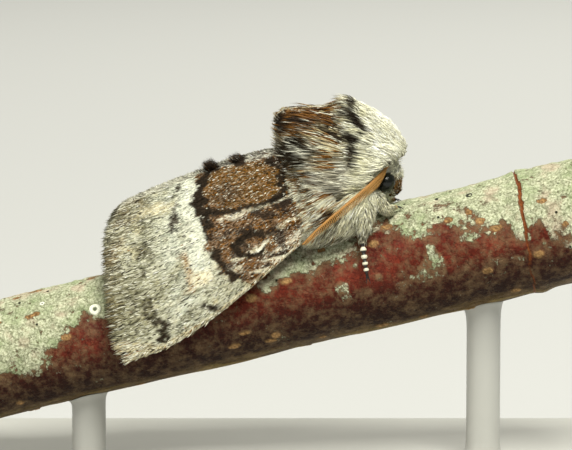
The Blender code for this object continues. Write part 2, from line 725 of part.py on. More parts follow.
def coat_rows(draw):
    """Where the thorax's locks grow: x, turn from the top, tilt off the body, length, width."""
    for row, x in enumerate((6.8, 6.4, 5.9, 5.35, 4.75, 4.15, 3.55, 3.0, 2.45)):
        section = [np.interp(x, [s[0] for s in THORAX], [s[k] for s in THORAX]) for k in (2, 3)]
        girth = math.pi * (section[0] + section[1])
        count = max(5, round(girth * 0.72 / 1.05))
        for k in range(count):
            place = (k + 0.5 + 0.25 * (row % 2 - 0.5) + draw.uniform(-0.15, 0.15)) / count
            turn = math.radians(130) * (2 * place - 1)
            top = max(0.0, math.cos(turn)) ** 2
            front, rear = np.clip((x - 4.8) / 1.6, 0, 1), np.clip((3.3 - x) / 1.1, 0, 1)
            tilt = math.radians(15 + 14 * front + 6 * top + 16 * rear * top + draw.uniform(-4, 4))
            length = 1.8 - 0.35 * front + 0.2 * rear * top + draw.uniform(-0.15, 0.15)
            yield x + draw.uniform(-0.12, 0.12), turn, tilt, length, 1.1


def collar_locks(draw):
    """The collar's locks, which stand up beside the neck plane: root, direction, outer side, length."""
    along = Vector((math.cos(NECK_PLANE_SLOPE), 0, math.sin(NECK_PLANE_SLOPE)))
    ahead = Vector((along.z, 0, -along.x))
    for height, count, half_width, length in ((1.9, 5, 1.5, 2.7), (2.8, 5, 1.25, 2.2), (3.6, 5, 0.95, 1.6)):
        for k in range(count):
            fan = (k + 0.5 + draw.uniform(-0.15, 0.15)) / count * 2 - 1
            root = Vector(NECK_PLANE_POINT) + along * height - ahead * 0.45 + Vector((0, half_width * fan, 0))
            direction = along - ahead * draw.uniform(0.0, 0.12) + Vector((0, 0.5 * fan, 0))
            outward = ahead + Vector((0, 0.6 * fan, 0))
            yield root, direction.normalized(), outward.normalized(), length


def build_thorax(nodes, scraps, neighbours):
    """The high, woolly thorax: a core under overlapping locks that run back from the head."""
    made = loft("thorax", THORAX, 24, nodes)
    crowds = wing_crowds() + [crowd(other, gap + 0.06) for other, gap in neighbours]
    for other, gap in neighbours:
        if other.name != "head":
            hull_clearance(other, gap, scraps)
    left_copy(wing_room(scraps), "wing_room_left", scraps)
    neck_block(True, 0.5 * GAP, scraps)
    boolean(made, scraps, "DIFFERENCE")
    draw, focus = random.Random(11), Vector(LIE_FOCUS)
    for x, turn, tilt, length, width in coat_rows(draw):
        point, normal = thorax_surface(x, turn)
        if x > NECK_PLANE_POINT[0] + (point.z - NECK_PLANE_POINT[2]) / math.tan(NECK_PLANE_SLOPE) - 0.2:
            continue
        flow = point - focus
        flow = (flow - normal * flow.dot(normal)).normalized()
        root = point - normal * 0.3
        place_lock(root, flow, normal, tilt, length, width, crowds, scraps, droop=0.25)
    for root, direction, outward, length in collar_locks(draw):
        for shrink in (1.0, 0.8, 0.6):
            points = lock_points(root, direction, outward, shrink * length, 0.95, droop=0.0)
            if is_free(points, crowds):
                lock(points, scraps)
                break
    boolean(made, scraps, "UNION")
    return made


def build_stand(nodes, perch, scraps, frame):
    """A flat base with softened edges, and two upright rods whose tops follow the twig's underside."""
    bm = bmesh.new()
    bmesh.ops.create_cube(bm, size=1.0)
    bmesh.ops.scale(bm, vec=Vector((BASE_LENGTH, BASE_WIDTH, BASE_HEIGHT)) * MM, verts=bm.verts)
    bmesh.ops.translate(bm, vec=(0, 0, 0.5 * BASE_HEIGHT * MM), verts=bm.verts)
    mesh = bpy.data.meshes.new("stand_base")
    bm.to_mesh(mesh)
    bm.free()
    base = bpy.data.objects.new("stand_base", mesh)
    nodes.objects.link(base)
    bevel = base.modifiers.new("soft_edges", "BEVEL")
    bevel.width = MM * BASE_BEVEL
    bevel.segments = 2
    rods = []
    for name, x in ROD_PLACES.items():
        low, high = BASE_HEIGHT + GAP, TWIG_AXIS_HEIGHT + x * math.sin(TWIG_TILT)
        rod = tube(name, [(x, 0, low), (x, 0, high)], (ROD_RADIUS, ROD_RADIUS), nodes, resolution=4)
        cutter = clearance(perch, GAP, scraps)
        cutter.matrix_world = frame.matrix_world
        boolean(rod, scraps, "DIFFERENCE")
        rods.append(rod)
    return base, rods


def main():
    clear_scene()
    nodes = bpy.data.collections.new("moth_on_twig")
    scraps = bpy.data.collections.new("cutters")
    for collection in (nodes, scraps):
        bpy.context.scene.collection.children.link(collection)
    scraps.hide_render = True

    frame = bpy.data.objects.new("twig_frame", None)
    nodes.objects.link(frame)
    frame.location = (0, 0, MM * TWIG_AXIS_HEIGHT)
    frame.rotation_euler = (0, -TWIG_TILT, 0)
    bpy.context.view_layer.update()

    perch = build_perch(nodes)
    base, rods = build_stand(nodes, perch, scraps, frame)
    forewing = build_forewing(nodes, scraps)
    hindwing = build_hindwing(nodes)
    antenna = build_antenna(nodes, scraps)
    eye = ball("eye_right", EYE_CENTRE, (EYE_RADIUS,) * 3, nodes, 12, 8)
    palp = build_palp(nodes, scraps)
    fore_coat, mid_coat = leg_coats(random.Random(5))
    around = wing_crowds() + [crowd(antenna, GAP + 0.05), twig_crowd()]
    fore_leg = build_leg("foreleg_right", FORE_LEG, 0.6, fore_coat, around, nodes, scraps)
    around.append(crowd(fore_leg, GAP + 0.05))
    mid_leg = build_leg("midleg_right", MID_LEG, 0.68, mid_coat, around, nodes, scraps)
    hind_leg = build_leg("hindleg_right", HIND_LEG, 0.7, [], [], nodes, scraps)
    abdomen = build_abdomen(nodes, scraps)

    pairs = {
        "forewing_left": forewing, "hindwing_left": hindwing, "antenna_left": antenna, "eye_left": eye,
        "palp_left": palp, "foreleg_left": fore_leg, "midleg_left": mid_leg, "hindleg_left": hind_leg,
    }
    lefts = {name: left_copy(obj, name, nodes) for name, obj in pairs.items()}

    head = build_head(nodes, scraps, [
        (eye, CLOSE_GAP), (lefts["eye_left"], CLOSE_GAP), (antenna, CLOSE_GAP),
        (lefts["antenna_left"], CLOSE_GAP), (palp, CLOSE_GAP), (lefts["palp_left"], CLOSE_GAP),
        (fore_leg, GAP), (lefts["foreleg_left"], GAP),
    ])
    build_thorax(nodes, scraps, [
        (head, GAP),
        (eye, CLOSE_GAP), (lefts["eye_left"], CLOSE_GAP), (abdomen, GAP),
        (antenna, GAP), (lefts["antenna_left"], GAP), (fore_leg, GAP), (lefts["foreleg_left"], GAP),
        (mid_leg, GAP), (lefts["midleg_left"], GAP), (hind_leg, GAP), (lefts["hindleg_left"], GAP),
    ])

    finishes = {
        "bark": material("bark", (0.42, 0.22, 0.18), 0.7),
        "wing_scales": material("wing_scales", (0.66, 0.66, 0.62), 0.75),
        "woolly_coat": material("woolly_coat", (0.76, 0.74, 0.66), 0.9),
        "antenna_comb": material("antenna_comb", (0.72, 0.49, 0.27), 0.6),
        "eye": material("eye", (0.05, 0.06, 0.06), 0.15),
        "dark_scales": material("dark_scales", (0.22, 0.16, 0.12), 0.85),
        "stand": material("stand", (0.80, 0.79, 0.76), 0.45),
    }
    finish_of = {"perch": "bark", "head": "woolly_coat", "thorax": "woolly_coat", "abdomen": "woolly_coat"}
    for obj in list(nodes.objects):
        if obj.type != "MESH":
            continue
        stem = obj.name.split("_")[0]
        by_stem = {
            "forewing": "wing_scales", "hindwing": "wing_scales", "antenna": "antenna_comb", "eye": "eye",
            "palp": "dark_scales", "stand": "stand",
        }
        finish = finish_of.get(obj.name) or by_stem.get(stem, "woolly_coat")
        obj.data.materials.clear()
        obj.data.materials.append(finishes[finish])
        if stem != "stand":
            obj.parent = frame
    bpy.data.collections.remove(scraps)
    bpy.context.view_layer.update()


main()
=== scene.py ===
"""A nut-tree tussock moth at rest on a lichened twig, life size, on a plain display stand.

Shapes are worked out in the twig's own frame in millimetres: x along the twig towards the head,
y across it with the moth's right at -y, z away from the twig's axis. in_room() turns that frame
by the twig's slope, lifts it over the stand and gives metres. Each mesh holds its own place.
"""
import math

import bmesh
import bpy
import numpy as np
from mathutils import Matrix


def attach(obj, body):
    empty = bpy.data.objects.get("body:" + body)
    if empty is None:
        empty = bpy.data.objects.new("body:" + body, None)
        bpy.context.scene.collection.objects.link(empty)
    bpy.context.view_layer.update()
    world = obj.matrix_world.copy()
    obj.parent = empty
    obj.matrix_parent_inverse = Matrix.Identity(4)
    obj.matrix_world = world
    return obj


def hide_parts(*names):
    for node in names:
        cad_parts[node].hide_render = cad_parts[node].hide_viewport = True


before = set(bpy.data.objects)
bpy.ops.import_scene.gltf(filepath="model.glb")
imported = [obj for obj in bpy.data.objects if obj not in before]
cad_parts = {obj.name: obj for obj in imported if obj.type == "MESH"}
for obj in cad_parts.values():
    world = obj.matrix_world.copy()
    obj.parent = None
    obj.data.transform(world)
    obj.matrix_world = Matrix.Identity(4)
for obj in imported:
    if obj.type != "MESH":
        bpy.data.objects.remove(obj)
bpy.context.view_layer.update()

TWIG_SLOPE = math.radians(13.6)
TWIG_AXIS_HEIGHT = 11.5
COS, SIN = math.cos(TWIG_SLOPE), math.sin(TWIG_SLOPE)

# The twig
TWIG_LENGTH, TWIG_RADIUS, TWIG_TAPER, BUD_SCAR, LENTICELS = 34.5, 3.1, 0.10, 13.3, 120
# Small cups that fruit on its lichen: place along and turn round, radius, 1 with a white rim
CUPS = ((-9.9, 0.95, 0.3, 1), (10.62, 0.45, 0.2, 0), (8.9, 0.3, 0.09, 0), (12.2, 0.62, 0.1, 0),
        (9.7, 0.12, 0.09, 0), (-12.6, 0.55, 0.13, 1), (7.9, 0.66, 0.1, 0), (11.3, 5.6, 0.2, 1),
        (3.4, 5.2, 0.12, 0), (-13.4, 5.4, 0.24, 1), (-8.7, 0.2, 0.15, 1), (14.6, 6.1, 0.11, 0))
# The lichen's lower edge: place along the twig, cosine of its turn from the top
LICHEN_EDGE = np.array([
    (-17, -0.1), (-15.6, -0.1), (-12.9, -0.25), (-11.5, 0.1), (-10.7, 0.5), (-2.0, 0.4), (0.2, 0.12),
    (2.4, 0.42), (4.2, 0.6), (6.2, 0.45), (8.0, 0.4), (11.7, 0.2), (13.8, 0.0), (15.6, -0.35), (17, -0.35),
])
# The stand's rods, 0.3 mm clear of the base in the solids
ROD_RADIUS, ROD_PLACES, BASE_TOP = 0.9, {"rear": -10.5, "front": 10.5}, 2.5

# The right forewing: inner margin and costa from root to outer edge
INNER_EDGE = np.array([
    (3.1, -1.45, 6.35), (2.5, -1.05, 6.95), (1.7, -0.62, 7.35), (0.5, -0.34, 7.52),
    (-1.3, -0.29, 7.48), (-3.2, -0.29, 7.26), (-5.2, -0.29, 7.0), (-7.15, -0.29, 6.65),
])
COSTAL_EDGE = np.array([
    (3.7, -2.8, 3.85), (2.95, -3.05, 3.45), (1.9, -3.35, 2.95), (0.4, -3.7, 2.2),
    (-1.65, -3.95, 1.15), (-3.9, -4.15, 0.1), (-6.4, -4.2, -0.8), (-8.75, -4.2, -1.08),
])
ROOF_ROUNDNESS, OUTER_EDGE_BULGE, VEINS = 0.78, 1.2, 8
# The share of the wing's length that its plate covers; the fringe makes up the rest
WING_END = 0.985

# Beds that the coat grows from: x, centre height, half width, height above and depth below centre
THORAX_BED = np.array([
    (1.78, 7.5, 0.75, 1.8, 0.6), (2.1, 6.9, 1.4, 2.7, 1.6), (2.7, 6.2, 2.1, 3.28, 2.3),
    (3.6, 5.8, 2.5, 3.38, 2.0), (4.4, 5.65, 2.65, 3.36, 1.9), (5.1, 5.65, 2.6, 3.38, 1.8),
    (5.8, 5.7, 2.45, 3.24, 1.5), (6.4, 5.8, 2.15, 2.65, 1.0), (6.95, 5.9, 1.8, 2.0, 0.7),
    (7.4, 5.95, 1.4, 1.38, 0.5), (7.7, 5.95, 0.9, 0.8, 0.4), (7.85, 5.9, 0.3, 0.25, 0.2),
])
HEAD_BED = np.array([
    (5.5, 4.9, 0.5, 0.6, 0.5), (5.75, 4.9, 0.9, 0.9, 0.95), (6.3, 4.85, 1.05, 1.05, 1.15),
    (6.8, 4.8, 0.9, 0.95, 1.05), (7.15, 4.75, 0.55, 0.7, 0.7), (7.3, 4.72, 0.2, 0.25, 0.25),
])
ABDOMEN_BED = np.array([
    (-5.5, 4.4, 0.3, 0.3, 0.3), (-5.0, 4.44, 0.56, 0.6, 0.6), (-4.1, 4.5, 0.74, 0.78, 0.78),
    (-3.1, 4.56, 0.87, 0.92, 0.92), (-2.1, 4.62, 0.95, 1.02, 1.02), (-1.1, 4.66, 1.0, 1.06, 1.06),
    (-0.1, 4.7, 1.02, 1.07, 1.07), (0.9, 4.72, 0.95, 1.0, 1.0), (2.2, 4.8, 0.9, 1.0, 1.0),
])
# Between the feelers' roots: the point from which the coat's hairs run away
LIE_FOCUS = np.array((6.75, 0.0, 5.1))
EYE_CENTRE, EYE_RADIUS = np.array((6.5, -0.88, 4.55)), 0.52
ANTENNA = np.array([
    (6.85, -0.96, 5.45), (6.5, -1.68, 5.22), (5.9, -2.35, 4.92), (5.2, -2.85, 4.6),
    (4.3, -3.35, 4.2), (3.3, -3.75, 3.75), (2.3, -4.05, 3.25), (1.55, -4.25, 2.8),
])
# Side branches of a feeler, on each of its two sides
BRANCHES = 70
# Legs, a palp and the pad under the thigh's wool: x, y, z and half thickness
FORE_LEG = np.array([
    (5.35, -0.8, 4.05, 0.24), (5.85, -1.4, 3.9, 0.24), (6.1, -1.8, 3.45, 0.2),
    (6.35, -1.75, 3.25, 0.16), (6.6, -1.62, 3.2, 0.12), (6.78, -1.5, 3.2, 0.09),
])
MID_LEG = np.array([
    (4.35, -1.2, 4.1, 0.3), (4.85, -1.8, 4.0, 0.36), (5.15, -2.35, 3.7, 0.36),
    (4.95, -2.95, 3.0, 0.26), (4.65, -3.35, 2.2, 0.15), (4.52, -3.6, 1.3, 0.13),
    (4.45, -3.72, 0.4, 0.1),
])
HIND_LEG = np.array([
    (2.7, -0.7, 4.05, 0.28), (1.7, -1.1, 3.66, 0.24), (0.3, -1.42, 3.5, 0.2),
    (-1.0, -1.45, 3.48, 0.18), (-2.3, -1.42, 3.45, 0.15),
])
LEG_SIDES, FOOT_BEADS = 20, 5
PALP = np.array([(6.45, -0.34, 3.85, 0.18), (6.72, -0.36, 3.9, 0.2), (6.98, -0.38, 3.98, 0.12)])
WOOL_PAD = np.array([
    (5.75, -1.75, 4.2, 0.45), (5.1, -2.25, 3.85, 0.75), (4.3, -2.75, 3.5, 0.8),
    (3.5, -3.0, 3.25, 0.6), (2.8, -3.1, 3.1, 0.4), (2.2, -3.15, 3.0, 0.2),
])

# The share of the map's height that one turn round the body or the twig takes
ROUND = 0.9
# A pattern's scale is this over its size in millimetres, as Object coordinates are in metres
MM = 1000.0
# What a shape made for the moth's right side is multiplied by on each side
SIDES = {"right": np.array([1.0, 1.0, 1.0]), "left": np.array([1.0, -1.0, 1.0])}
BLACK_SCALES = "#1a140a"
# Where the two dark tufts stand on each wing's ridge, along the twig
RIDGE_TUFTS = (-0.75, -2.2)


def linear(hex_colour):
    """The linear red, green and blue of an sRGB hex colour."""
    value = np.array([int(hex_colour[i : i + 2], 16) for i in (1, 3, 5)]) / 255
    return np.where(value <= 0.04045, value / 12.92, ((value + 0.055) / 1.055) ** 2.4)


def in_room(points):
    """Millimetres in the twig's frame turned by its slope, lifted over the stand, in metres."""
    x, y, z = points[..., 0], points[..., 1], points[..., 2]
    return 0.001 * np.stack([x * COS - z * SIN, y, x * SIN + z * COS + TWIG_AXIS_HEIGHT], axis=-1)


def side_view(points):
    """Where a point is seen from the moth's side, level and 8 degrees up: across and up, in mm."""
    x, z = points[..., 0], points[..., 2] - 0.14 * np.abs(points[..., 1])
    return np.stack([x * COS - z * SIN, x * SIN + z * COS], axis=-1)


def unit(vectors):
    """Each vector divided by its length."""
    return vectors / np.maximum(np.linalg.norm(vectors, axis=-1, keepdims=True), 1e-9)


def smooth_path(stations, where):
    """Stations joined by a Catmull-Rom cubic through each four neighbours, at shares 0 to 1."""
    knots = np.vstack([2 * stations[0] - stations[1], stations, 2 * stations[-1] - stations[-2]])
    spot = np.clip(np.asarray(where, float), 0, 1) * (len(stations) - 1)
    first = np.minimum(spot.astype(int), len(stations) - 2)
    t = (spot - first)[..., None]
    a, b, c, d = (knots[first + k] for k in range(4))
    return 0.5 * (2 * b + (c - a) * t + (2 * a - 5 * b + 4 * c - d) * t**2 + (3 * b - a - 3 * c + d) * t**3)


def cloud(points, size, seed):
    """Smooth noise from 0 to 1: random values on a lattice of the given size in mm, blended."""
    table = np.random.default_rng(seed).random((24, 24, 24))
    spot = np.asarray(points) / size + 500.0
    low = np.floor(spot).astype(int)
    t = spot - low
    t = t * t * (3 - 2 * t)
    total = 0.0
    for corner in np.ndindex(2, 2, 2):
        share = np.prod([t[..., k] if corner[k] else 1 - t[..., k] for k in range(3)], axis=0)
        total = total + share * table[tuple((low[..., k] + corner[k]) % 24 for k in range(3))]
    return total


def fade(value, low, high):
    """0 below low, 1 above high, and a smooth step between; the other way where high is lower."""
    t = np.clip((value - low) / (high - low), 0, 1)
    return t * t * (3 - 2 * t)


def by_line(places, line, width, soft=0.12):
    """1 on a band of the given width along a line of side-view places, 0 off it."""
    line = np.array(line, float)
    nearest = np.full(len(places), 1e9)
    for start, end in zip(line[:-1], line[1:]):
        run = end - start
        share = np.clip((places - start) @ run / (run @ run), 0, 1)
        nearest = np.minimum(nearest, np.linalg.norm(places - start - share[:, None] * run, axis=1))
    return fade(nearest, 0.5 * width + soft, 0.5 * width - soft)


def in_oval(places, centre, radii, turn=0.0, soft=0.15):
    """1 inside an oval of side-view places, 0 outside, with a soft edge."""
    c, s = math.cos(math.radians(turn)), math.sin(math.radians(turn))
    d = places - np.array(centre)
    r = np.hypot((d[:, 0] * c + d[:, 1] * s) / radii[0], (d[:, 1] * c - d[:, 0] * s) / radii[1])
    return fade(r, 1 + soft, 1 - soft)


class Paint:
    """Colours of many points, laid one over another, with the chance of a dark or a pale scale."""

    def __init__(self, count, colour, dark=0.0, pale=0.0, rust=0.0):
        self.colour = np.tile(linear(colour), (count, 1))
        self.chance = np.tile(np.array([dark, pale, rust], float), (count, 1))

    def lay(self, mask, colour, dark=0.0, pale=0.0, rust=0.0):
        mask = np.clip(mask, 0, 1)[:, None]
        self.colour = self.colour * (1 - mask) + linear(colour) * mask
        self.chance = self.chance * (1 - mask) + np.array([dark, pale, rust]) * mask

    def even(self):
        """The colour with its scales mixed: what is seen from far away."""
        dark, pale, rust = (self.chance[:, k : k + 1] for k in range(3))
        mixed = self.colour * (1 - dark - pale - rust)
        return mixed + dark * linear("#2c2217") + pale * linear("#e9e8d4") + rust * linear("#96602c")

    def speckled(self, luck):
        """One colour for each scale: its place's own, or a dark, pale or rusty one by its luck."""
        pick, depth = luck[:, :1], 0.35 + 0.65 * luck[:, 2:]
        dark, pale, rust = np.cumsum(self.chance, axis=1).T[:, :, None]
        found = np.where(pick < rust, linear("#875a22"), self.colour)
        bright = 0.45 + 0.5 * luck[:, 2:]
        found = np.where(pick < pale, linear("#f3f2e0") * bright + self.colour * (1 - bright), found)
        found = np.where(pick < dark, linear("#261c10") * depth + self.colour * (1 - depth), found)
        return np.clip(found * np.exp(0.7 * luck[:, 1:2] - 0.35), 0, 1)


def wing_paint(points):
    """The forewing's markings, drawn in side view: dark root half, pale outer half."""
    ragged = 0.5 * (cloud(points, 0.35, 1) - 0.5) + 0.3 * (cloud(points, 0.14, 2) - 0.5)
    places = side_view(points) + ragged[:, None] * np.array([1.0, 0.6])
    broad, fine = cloud(points, 1.3, 3), cloud(points, 0.45, 4)
    dotted = fade(fine, 0.35, 0.5)
    paint = Paint(len(points), "#a8a78c", 0.24, 0.3)
    # The outer half: pale bands on grey, browner towards the outer edge
    paint.lay(fade(broad, 0.5, 0.85) * 0.7, "#82816a", 0.36, 0.14)
    paint.lay(fade(fine, 0.62, 0.8) * 0.5, "#cfc49a", 0.1, 0.3, 0.03)
    band = by_line(places, ((-5.9, 5.6), (-6.0, 3.6), (-5.7, 1.9), (-5.4, 0.2), (-5.0, -1.0)), 1.5, 0.8)
    paint.lay(band * fade(fine, 0.25, 0.6) * 0.8, "#c3c9b9", 0.16, 0.45)
    band = by_line(places, ((-5.2, 6.1), (-5.0, 4.6), (-4.5, 3.2), (-4.6, 1.9), (-4.2, 0.9)), 0.9, 0.5)
    paint.lay(band * 0.85, "#dadfd0", 0.07, 0.6)
    line = ((-7.9, 5.2), (-8.6, 4.0), (-9.1, 2.6), (-9.3, 1.0), (-9.3, -1.0), (-9.2, -2.6))
    band = by_line(places, line, 1.0, 0.5)
    paint.lay(band * (0.35 + 0.5 * fade(fine, 0.35, 0.6)), "#7f6f50", 0.3, 0.2)
    band = by_line(places, ((-7.2, 4.6), (-7.5, 3.0), (-7.2, 1.6), (-7.7, 0.2), (-7.9, -1.6)), 0.5, 0.35)
    paint.lay(band * fade(fine, 0.3, 0.6) * 0.7, "#7d7a5f", 0.36, 0.12)
    paint.lay(in_oval(places, (-6.9, 4.35), (0.9, 0.3), 10, 0.5) * 0.8, "#dfd5b2", 0.03, 0.3)
    line = ((-5.2, 1.85), (-5.0, 1.0), (-4.9, 0.2))
    paint.lay(by_line(places, line, 0.35, 0.3) * 0.75, "#b6905c", 0.12, 0.15, 0.3)
    paint.lay(in_oval(places, (-4.2, 0.75), (0.55, 0.4), 20, 0.5) * 0.8, "#e0d2ac", 0.03, 0.3, 0.05)
    line = ((-5.65, 5.6), (-5.82, 4.8), (-5.75, 3.9), (-5.95, 3.2))
    paint.lay(by_line(places, line, 0.26, 0.12) * dotted, "#40382a", 0.6, 0.05)
    paint.lay(by_line(places, ((-4.2, -0.7), (-3.6, -0.9), (-3.1, -0.95)), 0.28, 0.15), "#332c1e", 0.8)
    line = ((-7.2, -0.45), (-6.87, -1.35), (-6.37, -1.72), (-6.06, -2.85))
    paint.lay(by_line(places, line, 0.34, 0.1), "#2b2415", 0.95)
    line = ((-7.6, 2.2), (-7.3, 1.2), (-7.5, 0.4), (-7.2, -0.45))
    paint.lay(by_line(places, line, 0.26, 0.15) * dotted * 0.8, "#575139", 0.5, 0.08)
    paint.lay(in_oval(places, (-8.1, -1.0), (1.5, 1.8), 0, 0.5) * 0.5, "#7f7b5a", 0.35, 0.12)
    paint.lay(in_oval(places, (-6.2, 0.3), (1.1, 0.6), 40, 0.5) * 0.45, "#85825f", 0.35, 0.12)
    margin = fade(np.abs(points[:, 1]), 0.75, 0.45) * fade(points[:, 0], -2.6, -3.4)
    paint.lay(margin * 0.8, "#d9d5c2", 0.08, 0.5)
    # The dark root half, up to a ragged edge, with its pale streaks and tawny patch
    edge = np.array([
        (-1.4, 0.3), (-2.3, 0.55), (-3.05, 0.8), (-3.6, 1.45), (-3.75, 2.05), (-4.25, 2.4),
        (-4.05, 2.85), (-4.15, 3.4), (-4.6, 4.0), (-4.72, 4.8), (-4.72, 5.7), (-4.6, 7.2),
    ])
    root = fade(places[:, 0] - np.interp(places[:, 1], edge[:, 1], edge[:, 0]), -0.06, 0.1)
    paint.lay(root, "#573a18", 0.32, 0.09, 0.22)
    paint.lay(root * fade(cloud(points, 0.5, 6), 0.5, 0.75), "#3d2c20", 0.6, 0.08, 0.05)
    streaks = fade(cloud(points * np.array([0.45, 1.0, 1.4]), 0.3, 7), 0.6, 0.8)
    low = fade(places[:, 1] - 0.55 * places[:, 0], 4.4, 3.4)
    paint.lay(root * low * streaks * 0.75, "#c9bd9a", 0.08, 0.5, 0.12)
    paint.lay(in_oval(places, (-2.25, 5.62), (2.15, 1.24), 6, 0.06), "#66470f", 0.32, 0.1, 0.2)
    paint.lay(in_oval(places, (-3.15, 5.2), (0.75, 0.55), 20, 0.5) * 0.65, "#4a3524", 0.5, 0.05)
    # Its dark and pale lines: width, soft edge, strength, colour, chances of dark and pale scales
    for line, width, soft, strength, colour, dark, pale in (
        (((-3.9, 4.2), (-2.9, 4.25), (-1.9, 4.45), (-1.1, 4.65), (-0.4, 4.95)),
         0.26, 0.12, 1, "#1f180e", 0.9, 0),
        (((-2.5, 4.1), (-1.7, 4.35), (-0.9, 4.6), (0.3, 5.05)), 0.12, 0.1, 0.85, "#d9cfb0", 0.1, 0.4),
        (((-0.85, 7.0), (-0.4, 6.5), (-0.1, 6.1), (0.0, 5.7), (-0.15, 5.2), (-0.6, 4.8)),
         0.34, 0.12, 1, BLACK_SCALES, 0.95, 0),
        (((-3.95, 6.9), (-4.25, 6.2), (-4.45, 5.6), (-4.5, 4.9), (-4.35, 4.2), (-4.0, 3.65)),
         0.46, 0.12, 1, BLACK_SCALES, 0.95, 0),
        (((-4.5, 4.7), (-4.2, 4.1), (-3.95, 3.65)), 0.62, 0.12, 1, BLACK_SCALES, 0.95, 0),
        (((-4.1, 3.25), (-3.95, 2.75)), 0.28, 0.12, 1, BLACK_SCALES, 0.9, 0),
        (((-3.62, 2.1), (-3.2, 1.35), (-2.85, 0.98), (-2.5, 0.82)), 0.42, 0.12, 1, BLACK_SCALES, 0.95, 0),
        (((-3.2, 3.9), (-2.5, 3.95), (-2.1, 4.15)), 0.22, 0.1, 0.8, "#ddd3bb", 0.05, 0.5),
    ):
        paint.lay(by_line(places, line, width, soft) * strength, colour, dark, pale)
    hole = in_oval(places, (-1.6, 2.5), (0.54, 0.4), 15, 0.1)
    ring = in_oval(places, (-1.7, 2.5), (0.86, 0.72), 15, 0.08) * (1 - hole)
    paint.lay(ring * fade(places[:, 0] + 0.5 * places[:, 1], 0.75, 0.45), BLACK_SCALES, 0.95)
    paint.lay(in_oval(places, (-1.85, 2.45), (0.32, 0.2), 25, 0.3), "#3a2714", 0.6, 0.05, 0.1)
    paint.lay(by_line(places, ((-1.4, 2.15), (-0.85, 2.7)), 0.17, 0.06), "#e6dec4", 0.02, 0.7)
    for spot in ((-0.85, 4.05), (-1.4, 4.2), (-1.9, 3.3), (-0.6, 3.2), (-0.2, 4.6)):
        paint.lay(in_oval(places, spot, (0.45, 0.22), 20, 0.5) * 0.85, "#2a1f17", 0.7)
    # The pale costa and the tufted ridge
    costa = fade(places[:, 1] - 0.85 * places[:, 0], 2.9, 2.4) * root * fade(places[:, 0], -1.4, -0.6)
    streaks = fade(cloud(points * np.array([0.4, 1, 1]), 0.25, 8), 0.3, 0.5)
    paint.lay(costa * streaks * 0.85, "#d8cfb8", 0.08, 0.45, 0.14)
    margin = np.interp(places[:, 0], (-6.2, -3.7, -1.6, 1.4), (-2.95, -1.45, 0.3, 2.85))
    paint.lay(fade(places[:, 1] - margin, 0.34, 0.18) * 0.75, "#cabd97", 0.22, 0.35, 0.06)
    ridge = fade(points[:, 2], 7.18, 7.36) * fade(points[:, 0], -4.6, -4.0)
    paint.lay(ridge * 0.85, "#a5a196", 0.22, 0.35)
    for place in RIDGE_TUFTS:
        tuft = fade(np.abs(points[:, 0] - place), 0.42, 0.22) * fade(points[:, 2], 7.1, 7.25)
        paint.lay(tuft, "#2c2219", 0.8)
    return paint


def coat_paint(points):
    """The body coat's markings in side view: cream front, black streaks, tawny crest behind."""
    places = side_view(points) + (cloud(points, 0.3, 21) - 0.5)[:, None] * 0.35
    strand = cloud(points * np.array([0.5, 1, 1]), 0.22, 22)
    broad = cloud(points, 0.9, 23)
    paint = Paint(len(points), "#e4e1c2", 0.04, 0.35)
    middle = fade(places[:, 0], 3.3, 2.6)
    paint.lay(middle * 0.9, "#bfb084", 0.26, 0.34, 0.1)
    paint.lay(middle * fade(strand, 0.49, 0.58) * 0.95, "#42290e", 0.5, 0.05, 0.22)
    # Patches of the middle and crest: centre, radii, turn, soft edge, mask, colour, chances
    for centre, radii, turn, soft, mask, colour, *chances in (
        ((2.3, 5.9), (1.2, 1.1), 30, 0.3, 0.75, "#bfbcae", 0.12, 0.45),
        ((1.9, 7.3), (0.9, 0.9), 30, 0.4, 0.8, "#cfc19d", 0.1, 0.35, 0.2),
        ((0.45, 7.35), (1.0, 0.95), 0, 0.25, 1, "#332b1a", 0.62, 0.16),
        ((0.72, 7.4), (0.24, 0.38), 20, 0.3, 1, "#e4e2d0", 0.03, 0.7),
        ((0.55, 9.05), (1.15, 0.75), 10, 0.3, 1, "#94652f", 0.25, 0.14, 0.25),
        ((0.6, 9.0), (1.1, 0.8), 10, 0.3, fade(strand, 0.5, 0.66), "#3a281b", 0.6),
        ((1.6, 9.35), (0.9, 0.55), 0, 0.4, fade(strand, 0.42, 0.6) * 0.9, "#6e4a2c", 0.3, 0.1, 0.2),
        ((-0.35, 8.95), (0.32, 0.5), 0, 0.3, 1, "#1f1812", 0.9),
    ):
        paint.lay(in_oval(places, centre, radii, turn, soft) * mask, colour, *chances)
    line = ((3.5, 10.6), (3.3, 9.6), (3.75, 9.0), (4.15, 8.6))
    paint.lay(by_line(places, line, 0.5, 0.12), "#1d1609", 0.92)
    line = ((3.2, 8.2), (3.55, 7.8), (3.5, 7.2), (3.4, 6.6))
    paint.lay(by_line(places, line, 0.5, 0.14), "#1d1609", 0.92)
    front = fade(places[:, 0], 4.0, 4.6) * fade(places[:, 1], 5.9, 6.5)
    paint.lay(front, "#f5f3dc", 0.02, 0.45)
    paint.lay(fade(broad, 0.62, 0.8) * fade(places[:, 0], 3.9, 4.4) * 0.35, "#cfcba8", 0.0, 0.4)
    paint.lay(in_oval(places, (6.0, 5.65), (0.42, 0.5), 0, 0.25), "#8c6c40", 0.3, 0.1, 0.2)
    paint.lay(fade(points[:, 2], 3.9, 2.9) * 0.8, "#d8d4b4", 0.14, 0.3)
    paint.lay(fade(points[:, 2], 2.75, 2.35) * 0.7, "#5e5846", 0.3, 0.1)
    behind = fade(points[:, 0], 1.6, 0.9) * fade(points[:, 2], 6.4, 5.9)
    paint.lay(behind, "#8f8571", 0.15, 0.2)
    return paint


